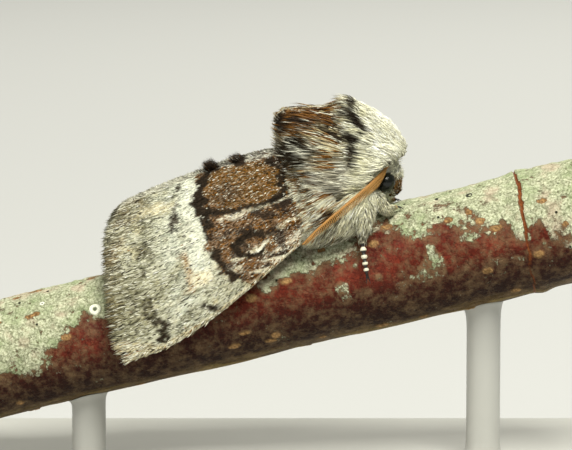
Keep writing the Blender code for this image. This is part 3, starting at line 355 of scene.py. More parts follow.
def grid_faces(rows, columns, wrap=False):
    """Quads of a rows x columns grid of points, whose columns join up where wrap is true."""
    i, j = np.indices((rows - 1, columns if wrap else columns - 1)).reshape(2, -1)
    k = (j + 1) % columns
    return np.stack([i * columns + j, i * columns + k, (i + 1) * columns + k, (i + 1) * columns + j], axis=1)


def outward(points, faces):
    """The faces, turned over where their volume, the sum of a . (b x c) / 6, comes out negative."""
    a, b, c = (points[faces[:, k]] for k in range(3))
    volume = np.sum(a * np.cross(b, c))
    if faces.shape[1] == 4:
        volume += np.sum(a * np.cross(c, points[faces[:, 3]]))
    return faces if volume > 0 else faces[:, ::-1]


def weld(mesh):
    """Joins the points that lie at one place, so that a pole is one point with triangles round it."""
    shape = bmesh.new()
    shape.from_mesh(mesh)
    bmesh.ops.remove_doubles(shape, verts=shape.verts, dist=1e-8)
    shape.to_mesh(mesh)
    shape.free()


def piece(name, points, faces, material, slot, replaced, tint=None, spots=None):
    """A mesh object of points in the twig's frame, with a tint and the map of its unwrap.

    outward() turns its faces, so that a mirrored piece needs no turning of its own. A face over
    the seam of a turn has its map places moved past the seam's far side, so that it isn't torn.
    """
    mesh = bpy.data.meshes.new(name)
    faces = np.ascontiguousarray(outward(points, faces.astype(np.int32)))
    mesh.vertices.add(len(points))
    mesh.vertices.foreach_set("co", in_room(points).ravel())
    mesh.loops.add(faces.size)
    mesh.loops.foreach_set("vertex_index", faces.ravel())
    mesh.polygons.add(len(faces))
    mesh.polygons.foreach_set("loop_start", np.arange(len(faces), dtype=np.int32) * faces.shape[1])
    mesh.update(calc_edges=True)
    mesh.polygons.foreach_set("use_smooth", np.ones(len(faces), bool))
    if tint is not None:
        shade = mesh.attributes.new("tint", "FLOAT_COLOR", "POINT")
        tint = tint if tint.shape[1] == 4 else np.column_stack([tint, np.ones(len(tint))])
        shade.data.foreach_set("color", tint.astype(np.float32).ravel())
    if spots is not None:
        unwrap = mesh.uv_layers.new(name="OFBake")
        corners = spots[faces]
        far = corners[..., 1].max(axis=1, keepdims=True) - corners[..., 1] > 0.5 * ROUND
        corners[..., 1] += far * ROUND
        unwrap.data.foreach_set("uv", corners.astype(np.float32).ravel())
    if faces.shape[1] == 4:
        weld(mesh)
    mesh.materials.append(material)
    made = bpy.data.objects.new(name, mesh)
    bpy.context.scene.collection.objects.link(made)
    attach(made, "root")
    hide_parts(*replaced)


def unrolled(x, around):
    """The map place of a point by its length along the body and its turn round it."""
    return np.stack([x / 40 + 0.5, np.mod(around, 2 * math.pi) / (2 * math.pi) * ROUND], axis=-1)


def laid_flat(x, height):
    """The map place of a point by its length along the body and a height of its own."""
    return np.stack([x / 30 + 0.5, height], axis=-1)


def by_cell(roots, size, draw):
    """Three random numbers from 0 to 1 for each root, the same for all roots in one cell."""
    cells = np.floor(roots / size).astype(int) % 64
    return draw.random((64, 64, 64, 3))[tuple(cells.T)]


def tufts(roots, flow, out, length, width, lift, paint, spots, draw, droop=0.5, rings=(0.0, 0.55),
          banded=False, clump=0.0, root_shade=0.6, curl=0.0):
    """Closed three-sided blades, as points, faces, tints and map places.

    At share t of its length a blade has gone t along its lie, risen by the sine of its lift times
    t less droop t squared, bent in by curl t squared, and narrowed to (1 - t^2)^0.8; the last point
    is its tip. A banded blade takes the paint's colour at each ring, any other one colour in all.
    Its root is as dark as root_shade and its tip is full bright. Blades that grow in one cell of
    clump mm share their luck, so that locks of one colour form.
    """
    count = len(roots)
    flow = unit(flow - out * np.sum(flow * out, axis=1, keepdims=True))
    side = np.cross(flow, out)
    length, width, lift, curl = (np.broadcast_to(v, count)[:, None] for v in (length, width, lift, curl))

    def centre(t):
        rise = np.sin(lift) * (1 - droop * t) - curl * t
        return roots + length * t * (flow * np.cos(lift) + out * rise)

    places, shares, sides = [], [], []
    for t in rings:
        half = 0.5 * width * (1 - t * t) ** 0.8
        for across, up in ((-1.0, 0.0), (1.0, 0.0), (0.0, 0.8)):
            places.append(centre(t) + side * across * half + out * up * half)
            shares.append(t)
            sides.append(across)
    places.append(centre(1.0))
    shares.append(1.0)
    sides.append(0.0)
    each = len(places)
    points = np.stack(places, axis=1)
    pattern = [(0, 2, 1)]
    for ring in range(len(rings) - 1):
        for a, b in ((0, 1), (1, 2), (2, 0)):
            a, b = 3 * ring + a, 3 * ring + b
            pattern += [(a, b, b + 3), (a, b + 3, a + 3)]
    last = 3 * (len(rings) - 1)
    pattern += [(last, last + 1, each - 1), (last + 1, last + 2, each - 1), (last + 2, last, each - 1)]
    faces = (np.array(pattern)[None] + each * np.arange(count)[:, None, None]).reshape(-1, 3)
    luck = draw.random((count, 3))
    if clump:
        luck = 0.85 * by_cell(roots, clump, draw) + 0.15 * luck
    if banded:
        colours = [paint(centre(t)).speckled(luck) for t in (*rings, 1.0)]
    else:
        colours = [paint(centre(0.6)).speckled(luck)] * (len(rings) + 1)
    root_shade = np.broadcast_to(root_shade, count)[:, None]
    shade = root_shade + (1 - root_shade) * np.array(shares)
    ring_of = [k // 3 for k in range(each)]
    tint = np.stack([colours[k] for k in ring_of], axis=1) * shade[..., None]
    patch = 0.0015 * np.stack([np.array(sides), 2 * np.array(shares) - 1], axis=1)
    return points.reshape(-1, 3), faces, tint.reshape(-1, 3), (spots[:, None] + patch[None]).reshape(-1, 2)


def both_sides(made):
    """A set of tufts and its mirror image on the left side, whose faces turn the other way."""
    points, faces, tint, spots = made
    return (np.vstack([points, points * SIDES["left"]]), np.vstack([faces, faces[:, ::-1] + len(points)]),
            np.vstack([tint, tint]), np.vstack([spots, spots]))


def forewing(p, q, rise):
    """The right forewing's outer face: p from root to outer edge, q from inner margin to costa.

    Across it a straight line and a quarter ellipse between the edges are mixed, which rounds the
    roof; near the outer edge it bulges past its corners. rise moves a point along the normal.
    """
    def face(p, q):
        inner, costa = smooth_path(INNER_EDGE, p), smooth_path(COSTAL_EDGE, p)
        out = (1 - ROOF_ROUNDNESS) * q + ROOF_ROUNDNESS * np.sin(0.5 * math.pi * q)
        down = (1 - ROOF_ROUNDNESS) * q + ROOF_ROUNDNESS * (1 - np.cos(0.5 * math.pi * q))
        bulge = OUTER_EDGE_BULGE * (1 - 0.3 * q) * (1 - np.abs(2 * q - 1) ** np.where(q < 0.5, 2, 6)) * p**5
        span = costa - inner
        return np.stack([inner[..., 0] + span[..., 0] * down - bulge, inner[..., 1] + span[..., 1] * out,
                         inner[..., 2] + span[..., 2] * down], axis=-1)
    spot, step = face(p, q), 0.004
    along = face(np.clip(p + step, 0, 1), q) - face(np.clip(p - step, 0, 1), q)
    across = face(p, np.clip(q + step, 0, 1)) - face(p, np.clip(q - step, 0, 1))
    normal = unit(np.cross(across, along))
    normal = normal * np.where(normal[..., 1:2] > 0, -1, 1)
    return spot + normal * rise[..., None], normal, unit(along), unit(across)


def vein_rise(p, q):
    """Height of the wing's veins: eight low rounded ridges from root to edge."""
    crests = np.linspace(0.07, 0.95, VEINS)
    nearest = np.abs(q[..., None] - crests).min(-1)
    return 0.06 * np.exp(-((nearest / 0.012) ** 2)) * np.clip(p * 5, 0, 1)


def bed(sections, x, turn):
    """A point of a coat's bed and its outward normal: at each x an oval with its own height above
    and depth below, turn measured from the top towards the moth's right."""
    z, w, up, down = (np.interp(x, sections[:, 0], sections[:, k]) for k in range(1, 5))
    high = np.where(np.cos(turn) > 0, up, down)
    point = np.stack([x, -w * np.sin(turn), z + high * np.cos(turn)], axis=-1)
    step = 0.06
    ahead = [np.interp(x + step, sections[:, 0], sections[:, k]) for k in (2, 3, 4)]
    behind = [np.interp(x - step, sections[:, 0], sections[:, k]) for k in (2, 3, 4)]
    slope_w = (ahead[0] - behind[0]) / (2 * step)
    slope_h = np.where(np.cos(turn) > 0, ahead[1] - behind[1], ahead[2] - behind[2]) / (2 * step)
    normal = np.stack([-(slope_w * np.abs(np.sin(turn)) + slope_h * np.abs(np.cos(turn))),
                       -np.sin(turn) / np.maximum(w, 0.1) * high, np.cos(turn)], axis=-1)
    return point, unit(normal)


def limb(stations, where, sides, squash=1.0):
    """Rings round a path through stations of x, y, z and half thickness, squashed sideways, and at
    each point the way out and the way along."""
    path = smooth_path(stations, where)
    centre, radius = path[:, :3], path[:, 3]
    run = unit(np.gradient(centre, axis=0))
    across = unit(np.cross(run, (0.0, 0.0, 1.0)))
    high = np.cross(across, run)
    turn = np.linspace(0, 2 * math.pi, sides, endpoint=False)[None, :, None]
    ring = across[:, None] * np.sin(turn) * squash + high[:, None] * np.cos(turn)
    return centre[:, None] + ring * radius[:, None, None], unit(ring), np.repeat(run[:, None], sides, axis=1)


def closed(points):
    """A grid of rings with each end drawn to a point, as flat points and quads."""
    rows, sides = points.shape[:2]
    ends = [np.repeat(points[k].mean(axis=0)[None], sides, axis=0)[None] for k in (0, -1)]
    full = np.concatenate([ends[0], points, ends[1]])
    return full.reshape(-1, 3), grid_faces(rows + 2, sides, wrap=True)


def add(tree, kind, settings=None, **links):
    """One shader node of the given kind, with its settings and what feeds its inputs: a socket, a
    node, which stands for its first output, a hex colour or a plain value. i6 is input number 6."""
    made = tree.nodes.new(kind)
    for key, value in (settings or {}).items():
        setattr(made, key, value)
    for key, value in links.items():
        numbered = key[0] == "i" and key[1:].isdigit()
        socket = made.inputs[int(key[1:]) if numbered else key.replace("_", " ")]
        if isinstance(value, bpy.types.Node):
            value = value.outputs[0]
        if isinstance(value, str):
            value = (*linear(value), 1)
        if isinstance(value, bpy.types.NodeSocket):
            tree.links.new(value, socket)
        else:
            socket.default_value = value
    return made


def finish(name, colour, roughness, **sockets):
    """A new material with a Principled shader; returns it, its node tree and its shader."""
    made = bpy.data.materials.new(name)
    made.use_nodes = True
    tree = made.node_tree
    shader = tree.nodes["Principled BSDF"]
    shader.inputs["Base Color"].default_value = (*linear(colour), 1)
    shader.inputs["Roughness"].default_value = roughness
    for key, value in sockets.items():
        shader.inputs[key.replace("_", " ")].default_value = value
    return made, tree, shader


def tinted(name, roughness, grain, contrast, bump=0.0, bump_size=0.1, **sockets):
    """A material that takes its colour from the tint attribute, broken up by noise of grain mm."""
    made, tree, shader = finish(name, "#808080", roughness, **sockets)
    tint = add(tree, "ShaderNodeAttribute", {"attribute_name": "tint"})
    place = add(tree, "ShaderNodeTexCoord").outputs["Object"]
    noise = add(tree, "ShaderNodeTexNoise", Vector=place, Scale=MM / grain, Detail=4.0)
    grained = add(tree, "ShaderNodeMapRange", Value=noise, From_Min=0.3, From_Max=0.7,
                  To_Min=1 - contrast, To_Max=1 + contrast)
    mixed = add(tree, "ShaderNodeVectorMath", {"operation": "MULTIPLY"}, i0=tint, i1=grained)
    tree.links.new(mixed.outputs["Vector"], shader.inputs["Base Color"])
    if bump:
        rough = add(tree, "ShaderNodeTexNoise", Vector=place, Scale=MM / bump_size, Detail=5.0)
        relief = add(tree, "ShaderNodeBump", Height=rough, Strength=0.8, Distance=bump * 0.001)
        tree.links.new(relief.outputs["Normal"], shader.inputs["Normal"])
    return made


# Chitin scales lie like tiles and look dusty, with no more than a faint silk
WING_SCALES = tinted("wing_scales", 0.72, 0.12, 0.18, Specular_IOR_Level=0.12)
# Hair-like scales stand in all directions, so the coat looks soft and dull, with faint glints
COAT_HAIR = tinted("coat_hair", 0.62, 0.2, 0.12, Specular_IOR_Level=0.15)
# Sawn end grain of pale sapwood, dry and matt
SAWN_WOOD = tinted("sawn_sapwood", 0.8, 0.12, 0.15, bump=0.02, bump_size=0.1)
# Dry chalky lobes of a lichen's fruit
LICHEN_CUP = tinted("lichen_fruit", 0.85, 0.06, 0.25, bump=0.02, bump_size=0.06, Specular_IOR_Level=0.2)
# Thin amber chitin of the feelers, slightly waxy
FEELER = tinted("amber_chitin", 0.5, 0.1, 0.12, Specular_IOR_Level=0.3)
# Smooth dark chitin of claws and feet
CLAW = tinted("dark_chitin", 0.35, 0.08, 0.15)


def bark_finish():
    """Waxy red-brown cork under a dry lichen crust. The tint's alpha says how much crust there is.

    There is crust where noise plus that share passes a limit, so that its edge crumbles away in
    bits about 0.2 mm across. Round it lies a thin grey-brown film of dust. The crust is grey-green,
    pinkish in places, with wrinkles 0.6 mm apart, darkened in their creases by painted shade, and black
    fruiting dots about 1 mm apart.
    """
    made, tree, shader = finish("smooth_bark_with_lichen", "#5a2018", 0.62, Specular_IOR_Level=0.12)
    tint = add(tree, "ShaderNodeAttribute", {"attribute_name": "tint"})
    place = add(tree, "ShaderNodeTexCoord").outputs["Object"]
    crumbs, tone, patch, grime = (
        add(tree, "ShaderNodeTexNoise", Vector=place, Scale=MM / size, Detail=detail, Roughness=rough)
        for size, detail, rough in ((0.3, 6.0, 0.72), (0.12, 4.0, 0.7), (1.3, 4.0, 0.5), (0.5, 8.0, 0.75))
    )
    bend = add(tree, "ShaderNodeTexNoise", Vector=place, Scale=MM / 0.4, Detail=4.0).outputs["Color"]
    bent = add(tree, "ShaderNodeVectorMath", {"operation": "MULTIPLY_ADD"}, i0=bend,
               i1=(0.9 / MM, 0.9 / MM, 0.9 / MM), i2=place)
    cracks = add(tree, "ShaderNodeTexVoronoi", {"feature": "DISTANCE_TO_EDGE"}, Vector=bent, Scale=MM / 0.62)
    fruit = add(tree, "ShaderNodeTexVoronoi", Vector=place, Scale=MM / 1.1)
    amount = tint.outputs["Alpha"]
    lichen, dirt = (
        add(tree, "ShaderNodeMath", {"operation": "MULTIPLY_ADD"}, i0=amount, i1=share, i2=noise)
        for share, noise in ((0.62, crumbs), (0.55, grime))
    )
    # Masks: each pattern's values from the first number to the second become the last two
    crust_mask, dust, pale, green, pink, wrinkle, dots, mottle = (
        add(tree, "ShaderNodeMapRange", Value=pattern, From_Min=low, From_Max=high, To_Min=start, To_Max=end)
        for pattern, low, high, start, end in (
            (lichen, 0.84, 0.92, 0.0, 1.0), (dirt, 0.61, 0.88, 0.0, 0.72), (tone, 0.34, 0.66, 0.0, 1.0),
            (patch, 0.5, 0.68, 0.0, 0.65), (patch, 0.46, 0.34, 0.0, 0.5), (cracks, 0.09, 0.02, 0.0, 1.0),
            (fruit, 0.085, 0.06, 0.0, 1.0), (tone, 0.25, 0.75, 0.3, 1.5),
        )
    )
    # Darker colour in the crust's wrinkles: painted shade in the creases
    painted_wrinkle_shade = add(tree, "ShaderNodeMath", {"operation": "MULTIPLY_ADD"}, i0=wrinkle, i1=0.38, i2=0.0)
    bark = add(tree, "ShaderNodeVectorMath", {"operation": "MULTIPLY"}, i0=tint, i1=mottle)
    crust = "#6d7053"
    for mask, colour in ((pale, "#d3d6b9"), (green, "#84946a"), (pink, "#b39a8a"), (painted_wrinkle_shade, "#5c5e45"),
                         (dots, "#26271d")):
        crust = add(tree, "ShaderNodeMix", {"data_type": "RGBA"}, i0=mask, i6=crust, i7=colour).outputs[2]
    for mask, colour in ((dust, "#7c664a"), (crust_mask, crust)):
        bark = add(tree, "ShaderNodeMix", {"data_type": "RGBA"}, i0=mask, i6=bark, i7=colour).outputs[2]
    tree.links.new(bark, shader.inputs["Base Color"])
    height = crumbs
    for mask, share in ((crust_mask, 0.7), (wrinkle, -0.35)):
        height = add(tree, "ShaderNodeMath", {"operation": "MULTIPLY_ADD"}, i0=mask, i1=share, i2=height)
    relief = add(tree, "ShaderNodeBump", Height=height, Strength=0.9, Distance=0.00007)
    tree.links.new(relief.outputs["Normal"], shader.inputs["Normal"])
    dull = add(tree, "ShaderNodeMapRange", Value=crust_mask, To_Min=0.55, To_Max=0.9)
    tree.links.new(dull.outputs["Result"], shader.inputs["Roughness"])
    return made


def eye_finish():
    """A compound eye's cornea: black-green, wet gloss, with its facets as fine bumps. They are
    drawn 0.045 mm across, coarser than real, so that they show."""
    made, tree, shader = finish("compound_eye_cornea", "#0c110f", 0.22, Specular_IOR_Level=0.4)
    place = add(tree, "ShaderNodeTexCoord").outputs["Object"]
    facets = add(tree, "ShaderNodeTexVoronoi", Vector=place, Scale=MM / 0.045)
    relief = add(tree, "ShaderNodeBump", {"invert": True}, Height=facets, Strength=0.35, Distance=0.00001)
    tree.links.new(relief.outputs["Normal"], shader.inputs["Normal"])
    ramp = add(tree, "ShaderNodeMapRange", Value=facets, From_Max=0.6, To_Min=1.0, To_Max=0.35)
    shade = add(tree, "ShaderNodeVectorMath", {"operation": "SCALE"}, i0=tuple(linear("#0f140f")), Scale=ramp)
    tree.links.new(shade.outputs["Vector"], shader.inputs["Base Color"])
    return made


def stand_finish():
    """Cast resin with a satin skin: pale grey, faint cloudiness and a very fine orange peel."""
    made, tree, shader = finish("satin_cast_resin", "#b2b0aa", 0.38, IOR=1.5, Coat_Weight=0.1)
    place = add(tree, "ShaderNodeTexCoord").outputs["Object"]
    haze = add(tree, "ShaderNodeTexNoise", Vector=place, Scale=MM / 6.0, Detail=3.0)
    shade = add(tree, "ShaderNodeMapRange", Value=haze, To_Min=0.40, To_Max=0.47)
    warm = add(tree, "ShaderNodeMath", {"operation": "MULTIPLY"}, i0=shade, i1=0.95)
    grey = add(tree, "ShaderNodeCombineColor", Red=shade, Green=shade, Blue=warm)
    tree.links.new(grey.outputs["Color"], shader.inputs["Base Color"])
    peel = add(tree, "ShaderNodeTexNoise", Vector=place, Scale=MM / 0.5, Detail=2.0)
    relief = add(tree, "ShaderNodeBump", Height=peel, Strength=0.3, Distance=0.00002)
    tree.links.new(relief.outputs["Normal"], shader.inputs["Normal"])
    return made


def twig_radius(x):
    """The twig's radius without its relief, which grows evenly towards the head."""
    return TWIG_RADIUS + TWIG_TAPER * x / (0.5 * TWIG_LENGTH)


def twig():
    """The twig: radius by length and turn, with bark relief raised where lichen and lenticels are.

    Its turn is measured from the top towards the moth's right. Lichen covers the top and thins out
    in patches below. Lenticels are raised ovals with a sunk middle, mostly longer along the twig.
    A ring crack runs round by the bud scar. Each cut end is a thin closed wafer of sawn wood.
    """
    rows, sides = 460, 190
    x = np.linspace(-0.5, 0.5, rows) * TWIG_LENGTH
    turn = np.linspace(0, 2 * math.pi, sides, endpoint=False)
    x, turn = np.meshgrid(x, turn, indexing="ij")
    radius = twig_radius(x) + 0.12 * np.exp(-(((x - BUD_SCAR) / 0.45) ** 2))
    radius = radius + 0.04 * np.sin(-3 * turn + 0.5 * x) + 0.03 * np.sin(-5 * turn - 0.9 * x + 1.0)
    base = np.stack([x, -radius * np.sin(turn), radius * np.cos(turn)], axis=-1).reshape(-1, 3)
    up, along, around = np.cos(turn).ravel(), x.ravel(), turn.ravel()
    broad, patch, crumb = cloud(base, 2.4, 41), cloud(base, 0.8, 42), cloud(base, 0.3, 43)
    edge = np.interp(along, LICHEN_EDGE[:, 0], LICHEN_EDGE[:, 1])
    reach = up - edge + 0.5 * (broad - 0.5) + 0.6 * (patch - 0.5)
    crust = fade(reach, -0.4, 0.42) * (0.92 + 0.5 * (crumb - 0.5))
    blots = fade(cloud(base, 1.0, 44) + 0.25 * (crumb - 0.5), 0.6, 0.76) * fade(up, -0.7, 0.0)
    crust = np.maximum(crust, 0.62 * blots)
    crust = np.maximum(crust, 0.22 + 0.2 * cloud(base, 0.7, 53) - 0.1 * fade(patch, 0.55, 0.75))
    paint = Paint(len(base), "#561c0f", 0.0)
    paint.lay(fade(broad, 0.35, 0.7) * 0.7, "#4a1a12")
    paint.lay(fade(patch, 0.5, 0.75) * 0.5, "#7a3222")
    # The bark darkens towards the twig's underside: painted shade
    paint.lay(fade(up, 0.15, -0.4), "#33130b")
    paint.lay(fade(up, -0.35, -0.75) * 0.9, "#241007")
    grain = cloud(base * np.array([0.25, 1.0, 1.0]), 0.3, 54)
    under = fade(up + 0.15 * (grain - 0.5), -0.78, -0.9)
    paint.lay(under, "#4c3a1c")
    paint.lay(under * fade(grain, 0.5, 0.7), "#7d6a3c")
    draw = np.random.default_rng(45)
    raised = np.zeros(len(base))
    for _ in range(LENTICELS):
        centre, place = draw.uniform(-17, 17), draw.uniform(0, 2 * math.pi)
        tall, wide = draw.uniform(0.16, 0.34), draw.uniform(0.11, 0.18)
        off = (around - place + math.pi) % (2 * math.pi) - math.pi
        away = np.hypot((along - centre) / tall, off * TWIG_RADIUS / wide)
        oval = fade(away, 1.3, 0.8)
        raised += 0.05 * oval - 0.035 * fade(away, 0.45, 0.2)
        paint.lay(oval * 0.95, "#a58255")
        paint.lay(fade(away, 0.85, 0.7) * fade(away, 0.5, 0.65) * 0.7, "#6b4c28")
        paint.lay(fade(away, 0.4, 0.2) * 0.8, "#54381d")
        crust = crust * (1 - 0.7 * oval)
    crack_at = BUD_SCAR - 0.3 + 0.25 * np.cos(around) + 0.25 * (cloud(base, 0.7, 47) - 0.5)
    crack_width = 0.02 + 0.09 * cloud(base, 0.5, 55) ** 2 * fade(np.cos(around - 0.75), 0.5, 0.95)
    crack = fade(np.abs(along - crack_at), crack_width + 0.05, crack_width)
    crack = crack * fade(cloud(base, 1.2, 48), 0.2, 0.4)
    paint.lay(crack, "#7c4420")
    crust = crust * (1 - crack)
    raised += fade(crust, 0.45, 0.8) * (0.03 + 0.08 * crumb) - 0.06 * crack + 0.05 * under * (grain - 0.5)
    raised += 0.03 * (cloud(base * np.array([0.35, 1, 1]), 0.35, 49) - 0.5)
    points = (base + unit(base * np.array([0, 1, 1])) * raised[:, None]).reshape(rows, sides, 3)
    tone = np.exp(0.35 * (cloud(base, 0.13, 50) - 0.5) + 0.3 * (cloud(base, 0.35, 51) - 0.5))[:, None]
    spots = unrolled(x.ravel(), turn.ravel())
    flat, faces = closed(points)
    ringed = np.arange(rows * sides).reshape(rows, sides)
    ringed = np.concatenate([ringed[:1], ringed, ringed[-1:]]).ravel()
    piece("twig_bark", flat, faces, bark_finish(), "bark", ("perch",),
          np.column_stack([paint.colour * tone, crust])[ringed], spots[ringed])
    for end, out, name in ((0, -1, "twig_end_rear"), (-1, 1, "twig_end_front")):
        shares = np.append(np.linspace(0, 1, 24), 0.98)[:, None, None]
        middle = np.array([points[end, :, 0].mean(), 0, 0])
        disc = middle + (points[end][None] - middle) * shares
        disc[..., 0] += out * np.append(np.full(24, 0.02), -0.2)[:, None]
        rings = np.sin(46 * shares[..., 0] * (1 + 0.05 * np.sin(3 * turn[0]))) * 0.5 + 0.5
        wood = linear("#c9b48c") * (1 - rings[..., None] * 0.25)
        wood = np.where(shares > 0.93, linear("#6b3b2b"), np.where(shares < 0.12, linear("#8a6a45"), wood))
        wood = np.broadcast_to(wood, disc.shape)
        wood = np.concatenate([wood[:1], wood, wood[-1:]]).reshape(-1, 3)
        flat, faces = closed(disc)
        piece(name, flat, faces, SAWN_WOOD, "bark", ("perch",), wood)


def cups():
    """The lichen's fruit: low round cups. Over the shares of a cup's radius its height, in fifths
    of the radius, rises from a dark floor to the rim's crest and falls below the bark outside."""
    turn = np.linspace(0, 2 * math.pi, 28, endpoint=False)
    share = np.array([0.0, 0.3, 0.5, 0.7, 0.85, 1.0, 1.12])
    rise = np.array([0.35, 0.4, 0.75, 1.0, 0.85, 0.3, -0.6])
    points, faces, tint, start = [], [], [], 0
    for along, around, size, rimmed in CUPS:
        radius = twig_radius(along)
        wobble = 1 + 0.03 * np.sin(3 * turn + along) + 0.02 * np.sin(5 * turn)
        off_x = size * share[:, None] * np.cos(turn) * wobble
        off_t = size * share[:, None] * np.sin(turn) * wobble / radius
        height, off_t = radius + 0.03 + 0.2 * size * rise[:, None], around + off_t
        ring = np.stack([along + off_x, -height * np.sin(off_t), height * np.cos(off_t)], axis=-1)
        flat, quads = closed(ring)
        rim = linear("#dfe1cf") if rimmed else linear("#34342a")
        floor = linear("#5d6350") if rimmed else linear("#1f1f19")
        shade = np.where(fade(share, 0.3, 0.5)[:, None, None] > 0.5, rim, floor) * np.ones((1, len(turn), 1))
        points.append(flat)
        faces.append(quads + start)
        tint.append(np.vstack([shade[0], shade.reshape(-1, 3), shade[-1]]))
        start += len(flat)
    points = np.vstack(points)
    spots = unrolled(points[:, 0], np.arctan2(-points[:, 1], points[:, 2]))
    piece("lichen_cups", points, np.vstack(faces), LICHEN_CUP, "bark", ("perch",), np.vstack(tint), spots)


def stand():
    """Resin over the base, and two round rods that swell to a foot below and a cradle under the bark."""
    resin = stand_finish()
    base = bpy.data.objects["stand_base"]
    base.data.materials.clear()
    base.data.materials.append(resin)
    turn = np.linspace(0, 2 * math.pi, 64, endpoint=False)
    for end, place in ROD_PLACES.items():
        share = np.linspace(0, 1, 60)[:, None]
        radius = ROD_RADIUS * (1 + 0.35 * np.exp(-share / 0.03) + 0.22 * np.exp(-(1 - share) / 0.04))
        x, y = place + radius * np.cos(turn), radius * np.sin(turn)
        top = TWIG_AXIS_HEIGHT + x * SIN / COS - np.sqrt(twig_radius(place)**2 - y**2) / COS + 0.02
        z = BASE_TOP + (top - BASE_TOP) * share
        level = np.stack([x, y, z - TWIG_AXIS_HEIGHT], axis=-1)
        tilted = np.stack([level[..., 0] * COS + level[..., 2] * SIN, level[..., 1],
                           level[..., 2] * COS - level[..., 0] * SIN], axis=-1)
        flat, faces = closed(tilted)
        piece(f"stand_rod_{end}_turned", flat, faces, resin, "stand", (f"stand_rod_{end}",))


def forewings():
    """Both forewings: a thin plate with low veins, then its scales as rows of lapped blades."""
    p, q = np.meshgrid(np.linspace(0, WING_END, 170), np.linspace(0, 1, 121), indexing="ij")
    outer = forewing(p, q, vein_rise(p, q) - 0.05)[0]
    inner = forewing(p, q, np.full(p.shape, -0.28))[0]
    shell = np.concatenate([outer, inner[:, ::-6]], axis=1)
    points, faces = closed(shell)
    tint = wing_paint(points).even()
    spots = laid_flat(points[:, 0], np.tile(np.linspace(0, 0.98, shell.shape[1]), len(shell) + 2))
    draw = np.random.default_rng(61)
    count = 19400
    p, q = draw.random(count) ** 0.85 * WING_END, draw.random(count)
    roots, normal, along, across = forewing(p, q, vein_rise(p, q) - 0.07)
    swing = draw.normal(0, 0.2, (count, 1))
    flow = along * np.cos(swing) + across * np.sin(swing)
    outer_half = fade(roots[:, 0], -2.5, -5.0)
    length = (0.2 + 0.14 * outer_half) * draw.uniform(0.75, 1.25, count)
    width = 0.085 - 0.015 * outer_half
    lift = np.radians(draw.uniform(8, 17, count))
    scales = tufts(roots, flow, normal, length, width, lift, wing_paint,
                   laid_flat(roots[:, 0], 0.02 + 0.45 * q), draw, 0.9, banded=True)
    for side, turned in SIDES.items():
        piece(f"forewing_{side}_skin", points * turned, faces, WING_SCALES, "wing_scales",
              (f"forewing_{side}",), tint, spots)
        piece(f"forewing_{side}_scales", scales[0] * turned, scales[1], WING_SCALES, "wing_scales",
              (f"forewing_{side}",), *scales[2:])


def wing_fringes():
    """Fringe of long narrow scales on the outer edge, costa and inner margin, and two dark tufts."""
    draw = np.random.default_rng(71)
    parts = []
    for edge, count, length, width, lift in (
        ("outer", 2600, 0.62, 0.07, 6), ("costa", 1200, 0.3, 0.06, 12), ("inner", 2600, 0.55, 0.06, 14)
    ):
        share, depth, inset = draw.random((3, count))
        p, q = {"outer": (0.955 + 0.03 * depth, share), "costa": (share, np.full(count, 0.985)),
                "inner": (0.25 + 0.72 * share, 0.01 + 0.05 * inset)}[edge]
        roots, normal, along, across = forewing(p, q, -0.14 + 0.1 * draw.random(count))
        swing = draw.normal(0, 0.16, (count, 1))
        lean = {"outer": 0.0, "costa": 0.35, "inner": -draw.uniform(0.2, 1.3, (count, 1))}[edge]
        flow = along * np.cos(swing + lean) + across * np.sin(swing + lean)
        size = length * draw.uniform(0.7, 1.2, count) * (1 - 0.4 * fade(q, 0.3, 0.0) * (edge == "outer"))
        spots = laid_flat(roots[:, 0], 0.02 + 0.45 * q)
        parts.append(tufts(roots, flow, normal, size, width, np.radians(lift), wing_paint, spots, draw, 0.4))
    count = 300
    for place in RIDGE_TUFTS:
        roots = np.column_stack([place + draw.normal(0, 0.13, count), -0.3 - draw.random(count) * 0.35,
                                 np.full(count, 7.26)])
        out = unit(np.column_stack([draw.normal(-0.3, 0.25, count), draw.normal(0.05, 0.3, count),
                                    np.ones(count)]))
        flow = np.column_stack([-np.ones(count), draw.normal(0, 0.3, count), np.zeros(count)])
        length = draw.uniform(0.4, 0.72, count)
        spots = laid_flat(roots[:, 0], np.full(count, 0.03))
        parts.append(tufts(roots, flow, out, length, 0.06, np.radians(72), dark_paint, spots, draw, 0.1))
    join_tufts("wing_fringes", [both_sides(part) for part in parts], WING_SCALES, "wing_scales",
               ("forewing_right", "forewing_left"))


def dark_paint(points):
    """Dark brown to black scales."""
    return Paint(len(points), "#30241a", 0.45, 0.03, 0.04)


def join_tufts(name, parts, material, slot, replaced):
    """One piece made of several sets of tufts."""
    points, faces, tint, spots = zip(*parts)
    starts = np.cumsum([0] + [len(part) for part in points[:-1]])
    faces = [part + start for part, start in zip(faces, starts)]
    piece(name, np.vstack(points), np.vstack(faces), material, slot, replaced, np.vstack(tint),
          np.vstack(spots))


